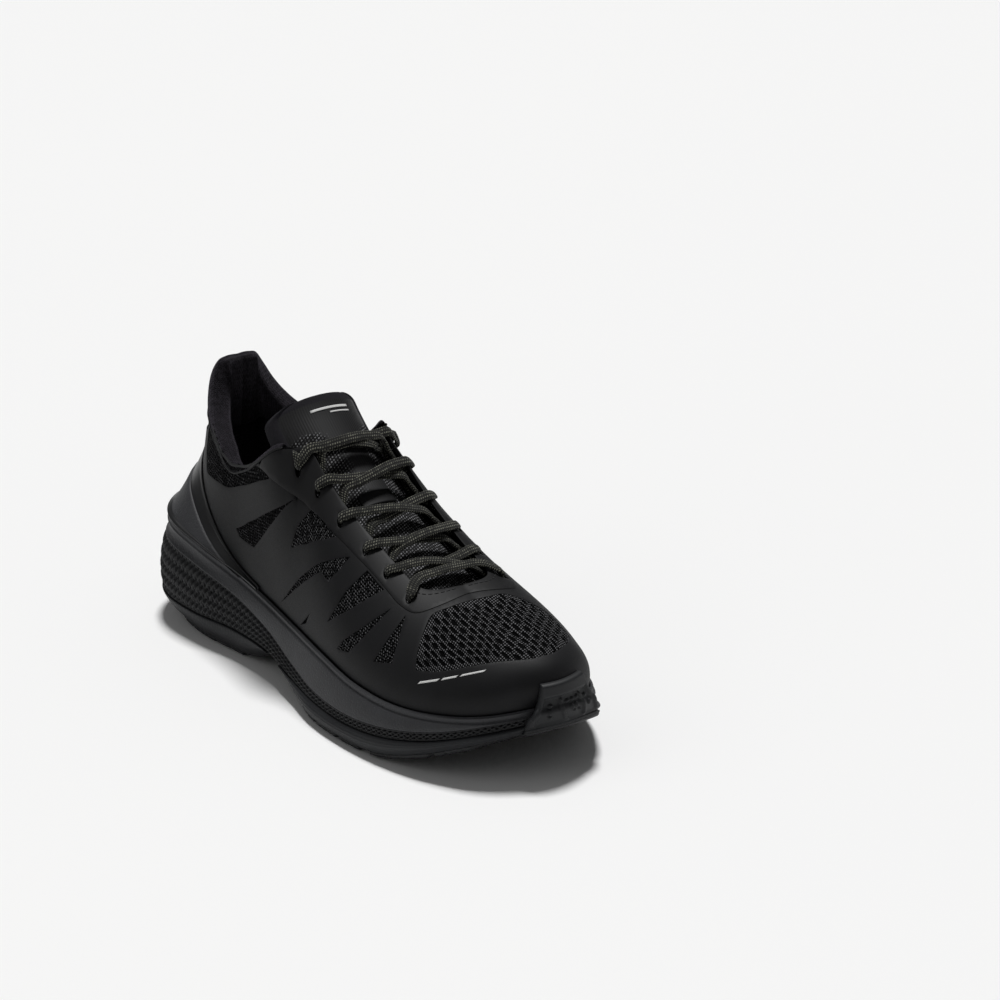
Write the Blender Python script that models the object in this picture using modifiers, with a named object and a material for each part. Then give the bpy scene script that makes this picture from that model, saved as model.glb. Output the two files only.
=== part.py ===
"""Right-foot running shoe, built from its separate pieces.

Frame: +X towards the toe, -Y lateral side, +Y medial side, +Z up, ground at z = 0.
All driving dimensions below are in millimetres; the scene is in metres.
"""
import math
import bpy
import bmesh
import numpy as np
from mathutils import Matrix, Vector
from mathutils.geometry import delaunay_2d_cdt

MM = 0.001
GAP = 0.3                 # clearance between neighbouring pieces
FLEX_X = 70.0             # toe flex line (ball of the foot)
FLEX_Z = 18.0             # height of the flex axis in the sole
FLEX_DEG = 20.5           # room left for the toe bending up
MESH_T = 1.1              # upper textile
SKIN = 0.15               # the textile face lies this far under the pattern surface
FILM_T = 0.5              # bonded film
STAY_T = 0.9              # eyestay
RUBBER_T = 2.5            # outsole rubber
LACE_W = 5.6              # flat oval lace, width and thickness
LACE_T = 1.7
FLAP_X = -42.0            # tongue flap bend line, on the tongue spine
FLAP_Z = 121.5
CENTRE = (6.1, 1.9, 0)    # moves the footprint centre to the origin at the end

# Bite line in plan at 13 stations from heel to toe: x, y lateral, y medial
PLAN = [(-137, 0, 0), (-133, -15, 15), (-120, -27, 26.5), (-96, -34, 33), (-66, -36.5, 34),
        (-35, -39.5, 32), (-5, -44, 35), (25, -49, 41), (55, -51.5, 46.5), (84, -49, 48),
        (109, -41, 40.3), (129, -26, 27.4), (139, 2, 2)]
# Crown each rib of the upper leads to: x, half width, z (ankle ring, then instep spine)
CROWN = [(-131, 0, 150), (-129.7, 12, 150), (-117, 17, 150), (-101, 24, 150), (-82, 27, 150),
         (-64, 24, 150), (-46, 0, 134), (-14, 0, 105.5), (18, 0, 87.5), (50, 0, 75), (78, 0, 68),
         (98, 0, 63.5), (110, 0, 60.5)]
# Rib shape: bite height, bulge, rise, 0 upright .. 1 flat at the crown, length at the crown
RIB = [(53, 3, 30, 0, 32), (52.5, 3, 30, 0, 32), (51, 3, 30, 0, 32), (47, 3, 30, 0, 32),
       (40, 3, 30, 0.1, 32), (36.5, 3, 34, 0.5, 30), (34.5, 3, 36, 1, 26), (33, 3, 30, 1, 28),
       (30, 3, 24, 1, 30), (28.5, 3, 22, 1, 30), (30, 4, 20, 1, 28), (33, 6, 20, 1, 24),
       (36, 8, 18, 1, 22)]
# Sole wall at the stations: (offset outside the bite line, z)
RIDGE = [(20, 42.5), (20.5, 42), (18.5, 40.5), (12, 37), (6.5, 31), (5, 24.5), (5.5, 18), (6.3, 14.5),
         (6, 14.5), (5.6, 17.5), (4.4, 22.5), (3.2, 29), (3.6, 33)]
BAND = [(21, 15.5), (21.5, 15), (20.5, 13.5), (14, 13), (8.5, 14), (6, 13.5), (6.6, 11), (7, 9.8),
        (6.5, 10.2), (6, 13), (4.9, 18.5), (3.7, 25.5), (4.1, 30)]
FOOT = [(8, 0), (10, 0), (12.5, 0), (10.5, 0), (6, 0), (2, 0), (4, 0), (8.5, 0), (7.5, 0), (6.4, 0),
        (5.3, 0), (4, 0), (3, 0)]
LIP = [(18, 0), (18, 0), (15.5, 0), (9, 0), (2.6, 0), (1.8, 0), (1.8, 0), (1.8, 0), (1.8, 0),
       (1.8, 0), (1.8, 0), (1.6, 0), (1.4, 0)]
# Profiles along the shoe: x, z
BED = [(-140, 35), (-96, 33.5), (-66, 31.5), (-35, 29), (-5, 26.5), (25, 24.5), (55, 23.5),
       (84, 24.5), (109, 27.5), (129, 32), (141, 35)]
PART_1 = [(-140, 27), (-96, 26), (-66, 24), (-35, 21), (-5, 17.5), (25, 15.5), (55, 15), (84, 17.5),
          (109, 22), (129, 28), (141, 31.5)]
PART_2 = [(-140, 14.5), (-96, 13.5), (-66, 13.8), (-35, 13.3), (-5, 11), (25, 9.8), (55, 10),
          (84, 12.5), (109, 18), (129, 25), (141, 29)]
GROUND = [(-160, 9), (-150, 5.5), (-140, 2.4), (-130, 0.5), (-124, 0), (-62, 0), (-48, 2.4),
          (-36, 7.6), (-26, 9), (-16, 7.6), (-4, 2.4), (6, 0), (66, 0), (84, 2), (100, 6.4),
          (112, 10.6), (125, 16), (139, 22), (152, 28)]
# Topline height at the stations, both sides
TOPLINE = [(0, 126), (0.5, 125.8), (0.9, 124.4), (1.2, 119.5), (1.5, 113.2), (2, 105), (2.5, 99.5),
           (3, 94.8), (3.35, 90), (3.65, 88.7), (4, 91.8), (4.43, 98), (4.83, 106), (5.2, 112.4),
           (5.55, 114.4)]
# Throat edge, eyestay seam and eyelets in surface coordinates (station, height fraction)
THROAT = [(5.85, 0.63), (6.38, 0.635), (7.0, 0.675), (7.66, 0.71), (8.25, 0.73), (8.9, 0.74),
          (9.3, 0.84), (9.6, 1.0)]
SEAM = [(4.5, 0.5), (5.13, 0.475), (5.6, 0.455), (6.13, 0.46), (6.67, 0.51), (7.2, 0.55),
        (7.87, 0.585), (8.33, 0.585), (8.67, 0.575), (9.03, 0.595), (9.3, 0.675), (9.6, 0.82),
        (9.85, 1.0)]
EYELETS = [(5.74, 0.548), (6.3, 0.56), (6.95, 0.6), (7.66, 0.64), (8.23, 0.655), (8.83, 0.645)]
# Windows cut through the film, lateral and mirrored
WINDOWS = [
    [(3.8, 0.185), (4.45, 0.2), (5.1, 0.31), (5.6, 0.43), (4.5, 0.32)],
    [(6.27, 0.445), (6.85, 0.49), (6.3, 0.4), (5.6, 0.26)],
    [(7.35, 0.5), (6.93, 0.325), (6.75, 0.34), (6.95, 0.42)],
    [(7.73, 0.52), (8.15, 0.525), (7.07, 0.175), (7.35, 0.33)],
    [(8.45, 0.49), (7.85, 0.165), (7.45, 0.115)],
]
TOE_WINDOW_LAT = [(9.45, 0.3), (9.42, 0.46), (9.5, 0.62), (9.8, 0.74), (10.1, 0.86), (10.35, 1.0)]
TOE_WINDOW_MED = [(10.1, 0.86), (9.9, 0.7), (10.1, 0.5), (10.9, 0.5), (11.5, 0.52)]
TOE_WINDOW_FRONT = [(12.0, 0.58), (11.6, 0.56), (11.2, 0.52), (10.7, 0.45), (10.2, 0.38),
                    (9.8, 0.32)]
HALF = len(PLAN) - 1
ROUND = 2 * HALF


def smooth(knots, x):
    """Smooth curve through knots (x, values...)."""
    k = np.asarray(knots, float)
    t, p = k[:, 0], k[:, 1:]
    x = np.clip(np.asarray(x, float), t[0], t[-1])
    m = np.gradient(p, t, axis=0)
    flat = np.zeros_like(p, bool)
    flat[1:] |= np.abs(np.diff(p, axis=0)) < 1e-9
    flat[:-1] |= np.abs(np.diff(p, axis=0)) < 1e-9
    m[flat] = 0.0
    i = np.clip(np.searchsorted(t, x, side="right") - 1, 0, len(t) - 2)
    h = (t[i + 1] - t[i])[..., None]
    a = ((x - t[i]) / (t[i + 1] - t[i]))[..., None]
    a2, a3 = a * a, a * a * a
    out = ((2 * a3 - 3 * a2 + 1) * p[i] + (a3 - 2 * a2 + a) * h * m[i]
           + (3 * a2 - 2 * a3) * p[i + 1] + (a3 - a2) * h * m[i + 1])
    return out[..., 0] if out.shape[-1] == 1 else out


def mirrored(rows, flip=None):
    rows = [list(r) for r in rows]
    back = [list(r) for r in rows[-2:0:-1]]
    if flip is not None:
        for r in back:
            r[flip] = -r[flip]
    return np.array(rows + back, float)


PLAN_LOOP = np.array([(x, a) for x, a, b in PLAN] + [(x, b) for x, a, b in PLAN][-2:0:-1], float)
CROWN_LOOP = mirrored([(x, -h, z) for x, h, z in CROWN], 1)
RIB_LOOP = mirrored(RIB)
RIDGE_LOOP = mirrored(RIDGE)
BAND_LOOP = mirrored(BAND)
FOOT_LOOP = mirrored(FOOT)
LIP_LOOP = mirrored(LIP)


def around(loop, u):
    """Closed smooth curve through the loop points, u from 0 to 1 round the shoe."""
    n = len(loop)
    t = (np.asarray(u, float) % 1.0) * n
    i = np.floor(t).astype(int)
    a = (t - i)[..., None]
    p0, p1, p2, p3 = loop[(i - 1) % n], loop[i % n], loop[(i + 1) % n], loop[(i + 2) % n]
    return 0.5 * (2 * p1 + (p2 - p0) * a + (2 * p0 - 5 * p1 + 4 * p2 - p3) * a ** 2
                  + (3 * p1 - p0 - 3 * p2 + p3) * a ** 3)


def plan(u):
    p = around(PLAN_LOOP, u)
    d = around(PLAN_LOOP, np.asarray(u) + 1e-3) - around(PLAN_LOOP, np.asarray(u) - 1e-3)
    d /= np.linalg.norm(d, axis=-1, keepdims=True)
    return p, np.stack([d[..., 1], -d[..., 0]], -1)


def crown(u):
    c = around(CROWN_LOOP, u)
    s = (np.asarray(u, float) % 1.0) * ROUND
    y = np.where(s <= HALF, np.minimum(c[..., 1], 0), np.maximum(c[..., 1], 0))
    c[..., 1] = np.where((s >= 6) & (s <= ROUND - 6), 0.0, y)
    return c


def raw(u, v):
    u = np.asarray(u, float)
    v = np.asarray(v, float)
    p, n = plan(u)
    c = crown(u)
    r = around(RIB_LOOP, u)
    up = np.array([0, 0, 1.0])
    foot = np.concatenate([p, r[..., 0:1]], -1)
    out = np.concatenate([n, np.zeros_like(r[..., 0:1])], -1)
    c1 = foot + out * r[..., 1:2] + up * r[..., 2:3]
    flat = np.clip(r[..., 3:4], 0, 1)
    d = foot - c
    d[..., 2] = 0
    d /= np.maximum(np.linalg.norm(d, axis=-1, keepdims=True), 1e-6)
    c2 = c + d * r[..., 4:5] * flat - up * r[..., 4:5] * (1 - flat)
    a = np.clip(v, 0, 1)[..., None]
    w = 1 - a
    q = w ** 3 * foot + 3 * w * w * a * c1 + 3 * w * a * a * c2 + a ** 3 * c
    drop = np.clip(-v, 0, 1) / 0.15 * (r[..., 0] - smooth(BED, p[..., 0]) - 0.5)
    q[..., 2] -= drop
    return q


def shell(u, v, off=0.0):
    """Upper surface: u round the shoe, v from the bite line (0) to the crown (1)."""
    u = np.asarray(u, float)
    v = np.asarray(v, float)
    q = raw(u, v)
    vv = np.clip(v, -0.14, 0.985)
    e = 2e-3
    du = raw(u + e, vv) - raw(u - e, vv)
    dv = raw(u, np.minimum(vv + e, 1)) - raw(u, vv - e)
    n = np.cross(du, dv)
    n /= np.linalg.norm(n, axis=-1, keepdims=True)
    s = (u % 1.0) * ROUND
    spine = (v > 0.999) & (s >= 6) & (s <= ROUND - 6)
    n[..., 1] = np.where(spine, 0.0, n[..., 1])
    n /= np.linalg.norm(n, axis=-1, keepdims=True)
    return q + n * np.asarray(off, float)[..., None]


def height_fraction(s, z):
    """v where the rib at station s reaches height z."""
    vs = np.linspace(0, 1, 201)
    zs = raw(np.full(201, s / ROUND), vs)[:, 2]
    return float(np.interp(z, zs, vs))


TOPLINE_V = [(s, height_fraction(s, z)) for s, z in TOPLINE]


# ---------------------------------------------------------------- scene and collections
for old in list(bpy.data.objects):
    bpy.data.objects.remove(old, do_unlink=True)
PARTS = bpy.data.collections.new("running_shoe")
bpy.context.scene.collection.children.link(PARTS)


def material(name, colour, rough=0.8, metal=0.0):
    m = bpy.data.materials.new(name)
    m.use_nodes = True
    b = m.node_tree.nodes["Principled BSDF"]
    b.inputs["Base Color"].default_value = (*colour, 1)
    b.inputs["Roughness"].default_value = rough
    b.inputs["Metallic"].default_value = metal
    return m


def add(name, bm, colour, rough=0.8, thickness=0.0, side=1.0):
    bmesh.ops.remove_doubles(bm, verts=bm.verts[:], dist=1e-6)
    loose = [v for v in bm.verts if not v.link_faces]
    bmesh.ops.delete(bm, geom=loose, context="VERTS")
    if thickness == 0.0:
        bmesh.ops.recalc_face_normals(bm, faces=bm.faces[:])
    me = bpy.data.meshes.new(name)
    bm.to_mesh(me)
    bm.free()
    ob = bpy.data.objects.new(name, me)
    PARTS.objects.link(ob)
    me.materials.append(material("mat_" + name, colour, rough))
    if thickness:
        mod = ob.modifiers.new("thickness", "SOLIDIFY")
        mod.thickness = thickness * MM
        mod.offset = side
        mod.use_even_offset = False
    return ob


# ---------------------------------------------------------------- pattern pieces of the upper
def side_u(s, medial=False):
    return 1 - s / ROUND if medial else s / ROUND


def flat_map(u, v):
    """Planar layout of the upper used to fill pattern outlines."""
    p, n = plan(u)
    c = crown(u)
    reach = 30 + 30 * np.clip((10 - np.minimum(u, 1 - u) * ROUND) / 6, 0, 1)
    o = p + n * np.asarray(reach)[..., None]
    v = np.asarray(v, float)[..., None]
    return o * (1 - v) + c[..., :2] * v


def densify(path, du=1 / 72, dv=1 / 14):
    out = []
    n = len(path)
    for i in range(n):
        a, b = np.array(path[i]), np.array(path[(i + 1) % n])
        if (a[0] - 0.5) * (b[0] - 0.5) < 0:
            if a[1] > 0.999:
                a[0] = 1 - a[0]
            elif b[1] > 0.999:
                b[0] = 1 - b[0]
        d = b - a
        if abs(d[0]) > 0.5:
            d[0] -= math.copysign(1, d[0])
        k = max(1, int(math.ceil(max(abs(d[0]) / du, abs(d[1]) / dv) - 1e-6)))
        for j in range(k):
            q = a + d * (j / k)
            q[0] %= 1.0
            out.append((float(q[0]), float(q[1])))
    return out


def inside(poly, pts):
    x, y = pts[:, 0], pts[:, 1]
    odd = np.zeros(len(pts), bool)
    j = len(poly) - 1
    for i in range(len(poly)):
        xi, yi, xj, yj = poly[i][0], poly[i][1], poly[j][0], poly[j][1]
        if yi != yj:
            hit = ((yi > y) != (yj > y)) & (x < (xj - xi) * (y - yi) / (yj - yi) + xi)
            odd ^= hit
        j = i
    return odd


def near(poly, pts, dist):
    a = np.asarray(poly)
    b = np.roll(a, -1, 0)
    d = b - a
    l2 = np.maximum((d ** 2).sum(1), 1e-12)
    t = np.clip(((pts[:, None] - a) * d).sum(2) / l2, 0, 1)
    q = a + t[..., None] * d
    return np.linalg.norm(pts[:, None] - q, axis=2).min(1) < dist


def patch(outline, holes=(), off=0.0, nu=72, nv=14, vmin=-0.13, clear=2.2):
    """Filled pattern piece laid on the upper surface at the given offset."""
    loops = [densify(outline, 1 / nu, 1 / nv)]
    loops += [densify(h, 1 / nu, 1 / nv) for h in holes]
    uv, edges, flats = [], [], []
    for loop in loops:
        k = len(uv)
        uv += loop
        edges += [(k + i, k + (i + 1) % len(loop)) for i in range(len(loop))]
        a = np.array(loop)
        flats.append(flat_map(a[:, 0], a[:, 1]))
    gu, gv = np.meshgrid(np.arange(nu) / nu, np.concatenate([[0.0], np.arange(1, nv + 1) / nv]),
                         indexing="ij")
    gu, gv = gu.ravel(), gv.ravel()
    dup = (gv > 0.999) & (gu > 0.5)
    gu, gv = gu[~dup], gv[~dup]
    g = flat_map(gu, gv)
    keep = inside(flats[0], g) & ~near(flats[0], g, clear)
    for h in flats[1:]:
        keep &= ~inside(h, g) & ~near(h, g, clear)
    uv += list(zip(gu[keep].tolist(), gv[keep].tolist()))
    a = np.array(uv)
    q = flat_map(a[:, 0], a[:, 1])
    res = delaunay_2d_cdt([Vector(p) for p in q.tolist()], edges, [], 0, 1e-5)
    co, faces, orig = res[0], res[2], res[3]
    flat = np.array([[c[0], c[1]] for c in co])
    ids = [o[0] for o in orig]
    pos = shell(a[ids][:, 0], a[ids][:, 1], off)
    bm = bmesh.new()
    vs = [bm.verts.new(p) for p in (pos * MM).tolist()]
    mid = np.array([flat[list(f)].mean(0) for f in faces])
    ok = inside(flats[0], mid)
    for h in flats[1:]:
        ok &= ~inside(h, mid)
    for f, k in zip(faces, ok):
        if k:
            bm.faces.new([vs[i] for i in f])
    bm.normal_update()
    return bm


def lat(points):
    return [(side_u(s), v) for s, v in points]


def med(points):
    return [(side_u(s, True), v) for s, v in points]


def keep_side(bm, co, no):
    """Cut an open sheet with a plane and keep the side the normal points away from."""
    geom = bm.verts[:] + bm.edges[:] + bm.faces[:]
    bmesh.ops.bisect_plane(bm, geom=geom, dist=1e-7, plane_co=co, plane_no=no, clear_outer=True)


def keep_solid(bm, co, no):
    geom = bm.verts[:] + bm.edges[:] + bm.faces[:]
    res = bmesh.ops.bisect_plane(bm, geom=geom, dist=1e-7, plane_co=co, plane_no=no,
                                 clear_outer=True)
    cut = [e for e in res["geom_cut"] if isinstance(e, bmesh.types.BMEdge)]
    bmesh.ops.triangle_fill(bm, use_beauty=True, use_dissolve=False, edges=cut)


T = math.radians(FLEX_DEG)
PIVOT = Vector((FLEX_X, 0, FLEX_Z)) * MM
REAR = (Vector((FLEX_X - GAP / 2, 0, 0)) * MM, Vector((1, 0, 0)))
FRONT = (Vector((FLEX_X + GAP / 2, 0, 0)) * MM, Vector((-1, 0, 0)))
TILT = (PIVOT + Vector((GAP, 0, 0)) * MM, Vector((-math.cos(T), 0, math.sin(T))))


def rear_part(bm, solid=False):
    (keep_solid if solid else keep_side)(bm, *REAR)
    return bm


def front_part(bm, solid=False):
    f = keep_solid if solid else keep_side
    f(bm, *FRONT)
    f(bm, *TILT)
    return bm


def flex_part(bm):
    keep_side(bm, REAR[0] + Vector((GAP, 0, 0)) * MM, -REAR[1])
    keep_side(bm, TILT[0] - Vector((GAP, 0, 0)) * MM, -TILT[1])
    return bm


def topline_side(side, s0=0.0, s1=5.55):
    keys = [(s, v) for s, v in TOPLINE_V]
    ss = np.arange(s0, s1 + 1e-6, 1 / 3)
    if ss[-1] < s1 - 1e-6:
        ss = np.append(ss, s1)
    vs = smooth(keys, ss)
    pts = list(zip(ss.tolist(), vs.tolist()))
    return lat(pts) if side == "lat" else med(pts)


def eyelet(s, v, medial=False, grow=1.0):
    n = 8
    u = side_u(s, medial)
    pts = []
    for i in range(n):
        a = 2 * math.pi * (i + 0.5) / n
        pts.append((u + 0.085 * grow / ROUND * math.cos(a), v + 0.036 * grow * math.sin(a)))
    return pts


def eyelet_holes(grow=1.0):
    return [eyelet(s, v, m, grow) for m in (False, True) for s, v in EYELETS]


BLACK = (0.02, 0.02, 0.022)
FILM = (0.035, 0.036, 0.04)
FOAM = (0.045, 0.047, 0.052)
RUBBER = (0.03, 0.03, 0.033)

# Textile of the upper: one sleeve with an ankle and throat opening, split at the flex line
OPENING = (topline_side("lat") + lat(THROAT) + med(THROAT[-2::-1])
           + topline_side("med")[::-1][:-1])
BOTTOM = [(i / 72, -0.13) for i in range(72)]
UPPER = patch(BOTTOM, [OPENING] + eyelet_holes(1.08), off=-MESH_T - SKIN)
for label, cutter in (("quarter_textile", rear_part), ("toe_box_textile", front_part)):
    add(label, cutter(UPPER.copy()), BLACK, 0.95, MESH_T, 1.0)

# Vamp strip that buckles when the toe bends up: textile and film bonded
add("vamp_flex_panel", flex_part(UPPER.copy()), FILM, 0.7, MESH_T + SKIN + GAP + FILM_T, 1.0)
UPPER.free()

# Bonded film of each quarter, the eyestay, and the toe film
E = 0.010


def shifted(points, dv):
    return [(s, v + dv) for s, v in points]


for side, fold in (("lateral", lat), ("medial", med)):
    edge = fold(shifted(SEAM[1:], -E))
    low = fold([(s / 3, -0.06) for s in range(32, 6, -1)])
    back = fold([(1.95, 0.05), (1.6, 0.2), (2.4, 0.33), (3.4, 0.42), (4.3, 0.455)])
    film = patch(edge + fold([(10.67, 1.0)]) + low + back, [fold(w) for w in WINDOWS], off=GAP)
    if side == "medial":
        keep_side(film, Vector((0, 0.0, 0)), Vector((0, -1, 0)))
    add("quarter_film_" + side, rear_part(film), FILM, 0.55, FILM_T, 1.0)

tip = (4.7, float(smooth(TOPLINE_V, 4.7)) - 0.025)
stay = lat([tip] + SEAM[1:]) + med(SEAM[-2:0:-1] + [tip])
stay += topline_side("med", 4.75, 5.55) + med(THROAT) + lat(THROAT[-2::-1])
stay += topline_side("lat", 4.75, 5.55)[::-1]
add("eyestay", rear_part(patch(stay, eyelet_holes(), off=GAP)), FILM, 0.5, STAY_T, 1.0)

toe_window = lat(TOE_WINDOW_LAT) + med(TOE_WINDOW_MED) + lat(TOE_WINDOW_FRONT)
toe_low = [(i / 72, -0.06) for i in range(24, 49)]
toe_back = med([(8, 0.5), (8.2, 1.0)])
toe = patch(toe_low + toe_back + lat([(8, 0.5)]), [toe_window], off=GAP)
add("toe_film", front_part(toe), FILM, 0.55, FILM_T, 1.0)

# Heel counter and toe puff stiffeners inside the upper
band = lat([(3.4, 0.02), (3.4, -0.09), (2, -0.09), (1, -0.09), (0, -0.09)])
band += med([(1, -0.09), (2, -0.09), (3.4, -0.09), (3.4, 0.02), (2.6, 0.2), (1.5, 0.27)])
band += lat([(0, 0.28), (1.5, 0.27), (2.6, 0.2)])
add("heel_counter", patch(band, off=-MESH_T - SKIN - 0.5, clear=1.5), (0.55, 0.53, 0.48), 0.6, 1.2, -1.0)
puff = lat([(10.5, 0.0), (11.2, 0.0), (12, 0.0)]) + med([(11.2, 0.0), (10.5, 0.0)])
puff += med([(10.7, 0.2), (11.2, 0.34)]) + lat([(12, 0.42), (11.2, 0.34), (10.7, 0.2)])
add("toe_puff", patch(puff, off=-MESH_T - SKIN - 0.7, clear=1.5), (0.55, 0.53, 0.48), 0.6, 0.8, -1.0)


# ---------------------------------------------------------------- lofts
def loft(rows, close_rows=True, cap=True, ring=False):
    """Quads between equal point rows; rows are closed loops, ends capped."""
    bm = bmesh.new()
    grid = [[bm.verts.new((np.asarray(p) * MM).tolist()) for p in row] for row in rows]
    n = len(rows[0])
    last = len(rows) if ring else len(rows) - 1
    for i in range(last):
        a, b = grid[i], grid[(i + 1) % len(rows)]
        for j in range(n if close_rows else n - 1):
            k = (j + 1) % n
            bm.faces.new([a[j], a[k], b[k], b[j]])
    if cap and close_rows and not ring:
        bm.faces.new(grid[0])
        bm.faces.new(grid[-1][::-1])
    return bm


# External heel clip: a wedge ring that sits on the rear lip of the midsole
rows = []
CLIP_TOP = [(0, 0.36), (1, 0.33), (1.83, 0.262), (2.5, 0.17), (3.0, 0.105), (3.5, 0.05), (4.5, 0.022)]
for k in range(-27, 28):
    s = abs(k) / 6
    u = side_u(s, k > 0)
    top = float(smooth(CLIP_TOP, s))
    width = float(around(LIP_LOOP, u)[0])
    z0 = float(around(RIB_LOOP, u)[0]) + GAP
    p, n = plan(u)
    inner = 1.3 + (0.25 if s > 3 else 0)
    reach = inner + max(width * 0.92, 1.2)
    a = shell(u, 0.012, inner)
    a[2] = z0 + 0.15
    b = np.array([*(p + n * reach), z0 + 0.15])
    c = shell(u, top * 0.3, inner + max(width * 0.62, 1.1))
    d = shell(u, top * 0.64, inner + max(width * 0.28, 0.9))
    e = shell(u, top, inner + 0.25)
    f = shell(u, top * 0.5, inner)
    rows.append([a, b, c, d, e, f])
add("heel_clip", loft(rows), (0.05, 0.05, 0.055), 0.35)

# Padded collar lining: thin against the foot low down, thick roll along the topline
rows = []
for k in range(-21, 22):
    s = abs(k) / 21 * 4.9
    u = side_u(s, k > 0)
    vt = float(smooth(TOPLINE_V, s))
    fat = float(np.interp(s, [0, 3, 4.0, 4.9], [7.5, 7.0, 4.4, 2.4]))
    deep = float(np.interp(s, [0, 4, 4.9], [0.05, 0.05, 0.2]))
    low = float(np.interp(s, [0, 3.6, 4, 4.9], [0.30, 0.30, 0.28, 0.34]))
    g = MESH_T + SKIN + GAP
    spots = [(deep, g + 1.8), (low - 0.02, g + 1.8), (low + 0.02, g + 0.2), (vt - 0.01, g + 0.2),
             (vt + 0.02, g - 0.5), (vt + 0.035, g + 0.3 * fat), (vt + 0.02, g + 0.8 * fat),
             (vt - 0.03, g + fat), (vt - 0.09, g + fat), ((vt + low) / 2 - 0.02, g + 0.7 * fat + 0.9),
             (low - 0.02, g + 3.1), (deep, g + 3.0)]
    rows.append([shell(u, v, -o) for v, o in spots])
add("collar_lining", loft(rows), (0.04, 0.036, 0.045), 0.95)

# ---------------------------------------------------------------- sole
NS = 60
US = np.arange(NS) / NS
P, NRM = plan(US)
MID_Y = [(x, (a + b) / 2) for x, a, b in PLAN]


def edge_row(off, z):
    off = np.broadcast_to(np.asarray(off, float), (NS,))
    q = P + NRM * off[:, None]
    z = np.asarray(z(q[:, 0]) if callable(z) else z, float)
    return np.concatenate([q, np.broadcast_to(z, (NS,))[:, None]], 1)


def inner_row(edge, r, z):
    sx = np.clip(P[:, 0], -108, 112)
    spine = np.stack([sx, smooth(MID_Y, sx)], 1)
    q = spine + (edge[:, :2] - spine) * r
    return np.concatenate([q, z(q[:, 0])[:, None]], 1)


def stack(rows):
    bm = loft([list(r) for r in rows], cap=False)
    bmesh.ops.remove_doubles(bm, verts=bm.verts[:], dist=1e-6)
    return bm


def mix(a, b, t):
    return a + (b - a) * t


def prof(table, dz=0.0):
    return lambda x: smooth(table, x) + dz


lip, ridge, belt, foot = (around(a, US) for a in (LIP_LOOP, RIDGE_LOOP, BAND_LOOP, FOOT_LOOP))
bite = around(RIB_LOOP, US)[:, 0]
WALL = 1.3
G = 0.5

well = edge_row(WALL, prof(BED))
under = edge_row(WALL, prof(PART_1))
slope = edge_row(mix(WALL, ridge[:, 0], 0.5), mix(under[:, 2], ridge[:, 1], 0.5))
rows = [inner_row(well, 0, prof(BED)), inner_row(well, 0.6, prof(BED)), well,
        edge_row(WALL, bite - 0.7), edge_row(WALL + 0.35 * lip[:, 0], bite),
        edge_row(WALL + lip[:, 0], bite - 0.9),
        edge_row(mix(WALL + lip[:, 0], ridge[:, 0], 0.5) + 1.1, mix(bite, ridge[:, 1], 0.45)),
        edge_row(ridge[:, 0], ridge[:, 1]), slope, under, inner_row(under, 0.6, prof(PART_1)),
        inner_row(under, 0, prof(PART_1))]
body = stack(rows)
add("midsole_rear", rear_part(body.copy(), True), FOAM, 0.85)
add("midsole_forefoot", front_part(body.copy(), True), FOAM, 0.85)
body.free()

top = under - np.array([0, 0, G])
bottom = edge_row(WALL, prof(PART_2))
rows = [inner_row(top, 0, prof(PART_1, -G)), inner_row(top, 0.6, prof(PART_1, -G)), top,
        slope - np.array([0, 0, G]), edge_row(ridge[:, 0], ridge[:, 1] - G),
        edge_row(mix(ridge[:, 0], belt[:, 0], 0.5) + 0.6, mix(ridge[:, 1], belt[:, 1], 0.5)),
        edge_row(belt[:, 0], belt[:, 1]), bottom, inner_row(bottom, 0.6, prof(PART_2)),
        inner_row(bottom, 0, prof(PART_2))]
body = stack(rows)
add("lattice_layer_rear", rear_part(body.copy(), True), FOAM, 0.8)
add("lattice_layer_forefoot", front_part(body.copy(), True), FOAM, 0.8)
body.free()

top = edge_row(WALL, prof(PART_2, -G))
tread = edge_row(foot[:, 0], prof(GROUND, RUBBER_T + GAP))
rows = [inner_row(top, 0, prof(PART_2, -G)), inner_row(top, 0.6, prof(PART_2, -G)), top,
        edge_row(belt[:, 0] - 0.4, belt[:, 1] - G),
        edge_row(mix(belt[:, 0], foot[:, 0], 0.5) + 0.8,
                 mix(belt[:, 1] - G, smooth(GROUND, P[:, 0]) + RUBBER_T + GAP, 0.5)),
        tread, inner_row(tread, 0.75, prof(GROUND, RUBBER_T + GAP)),
        inner_row(tread, 0, prof(GROUND, RUBBER_T + GAP))]
body = stack(rows)
heel = body.copy()
keep_solid(heel, Vector((-32, 0, 0)) * MM, Vector((1, 0, 0)))
add("heel_crash_pad", heel, FOAM, 0.85)
fore = rear_part(body.copy(), True)
keep_solid(fore, Vector((-20, 0, 0)) * MM, Vector((-1, 0, 0)))
add("forefoot_pad_rear", fore, FOAM, 0.85)
add("forefoot_pad_front", front_part(body.copy(), True), FOAM, 0.85)
body.free()


def outer_edge(x, medial, inset=1.2):
    u = np.linspace(0.0, 0.5, 400)
    if medial:
        u = 1 - u
    p, n = plan(u)
    q = p + n * (around(FOOT_LOOP, u)[:, 0:1] - inset)
    order = np.argsort(q[:, 0])
    return float(np.interp(x, q[order, 0], q[order, 1]))


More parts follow.
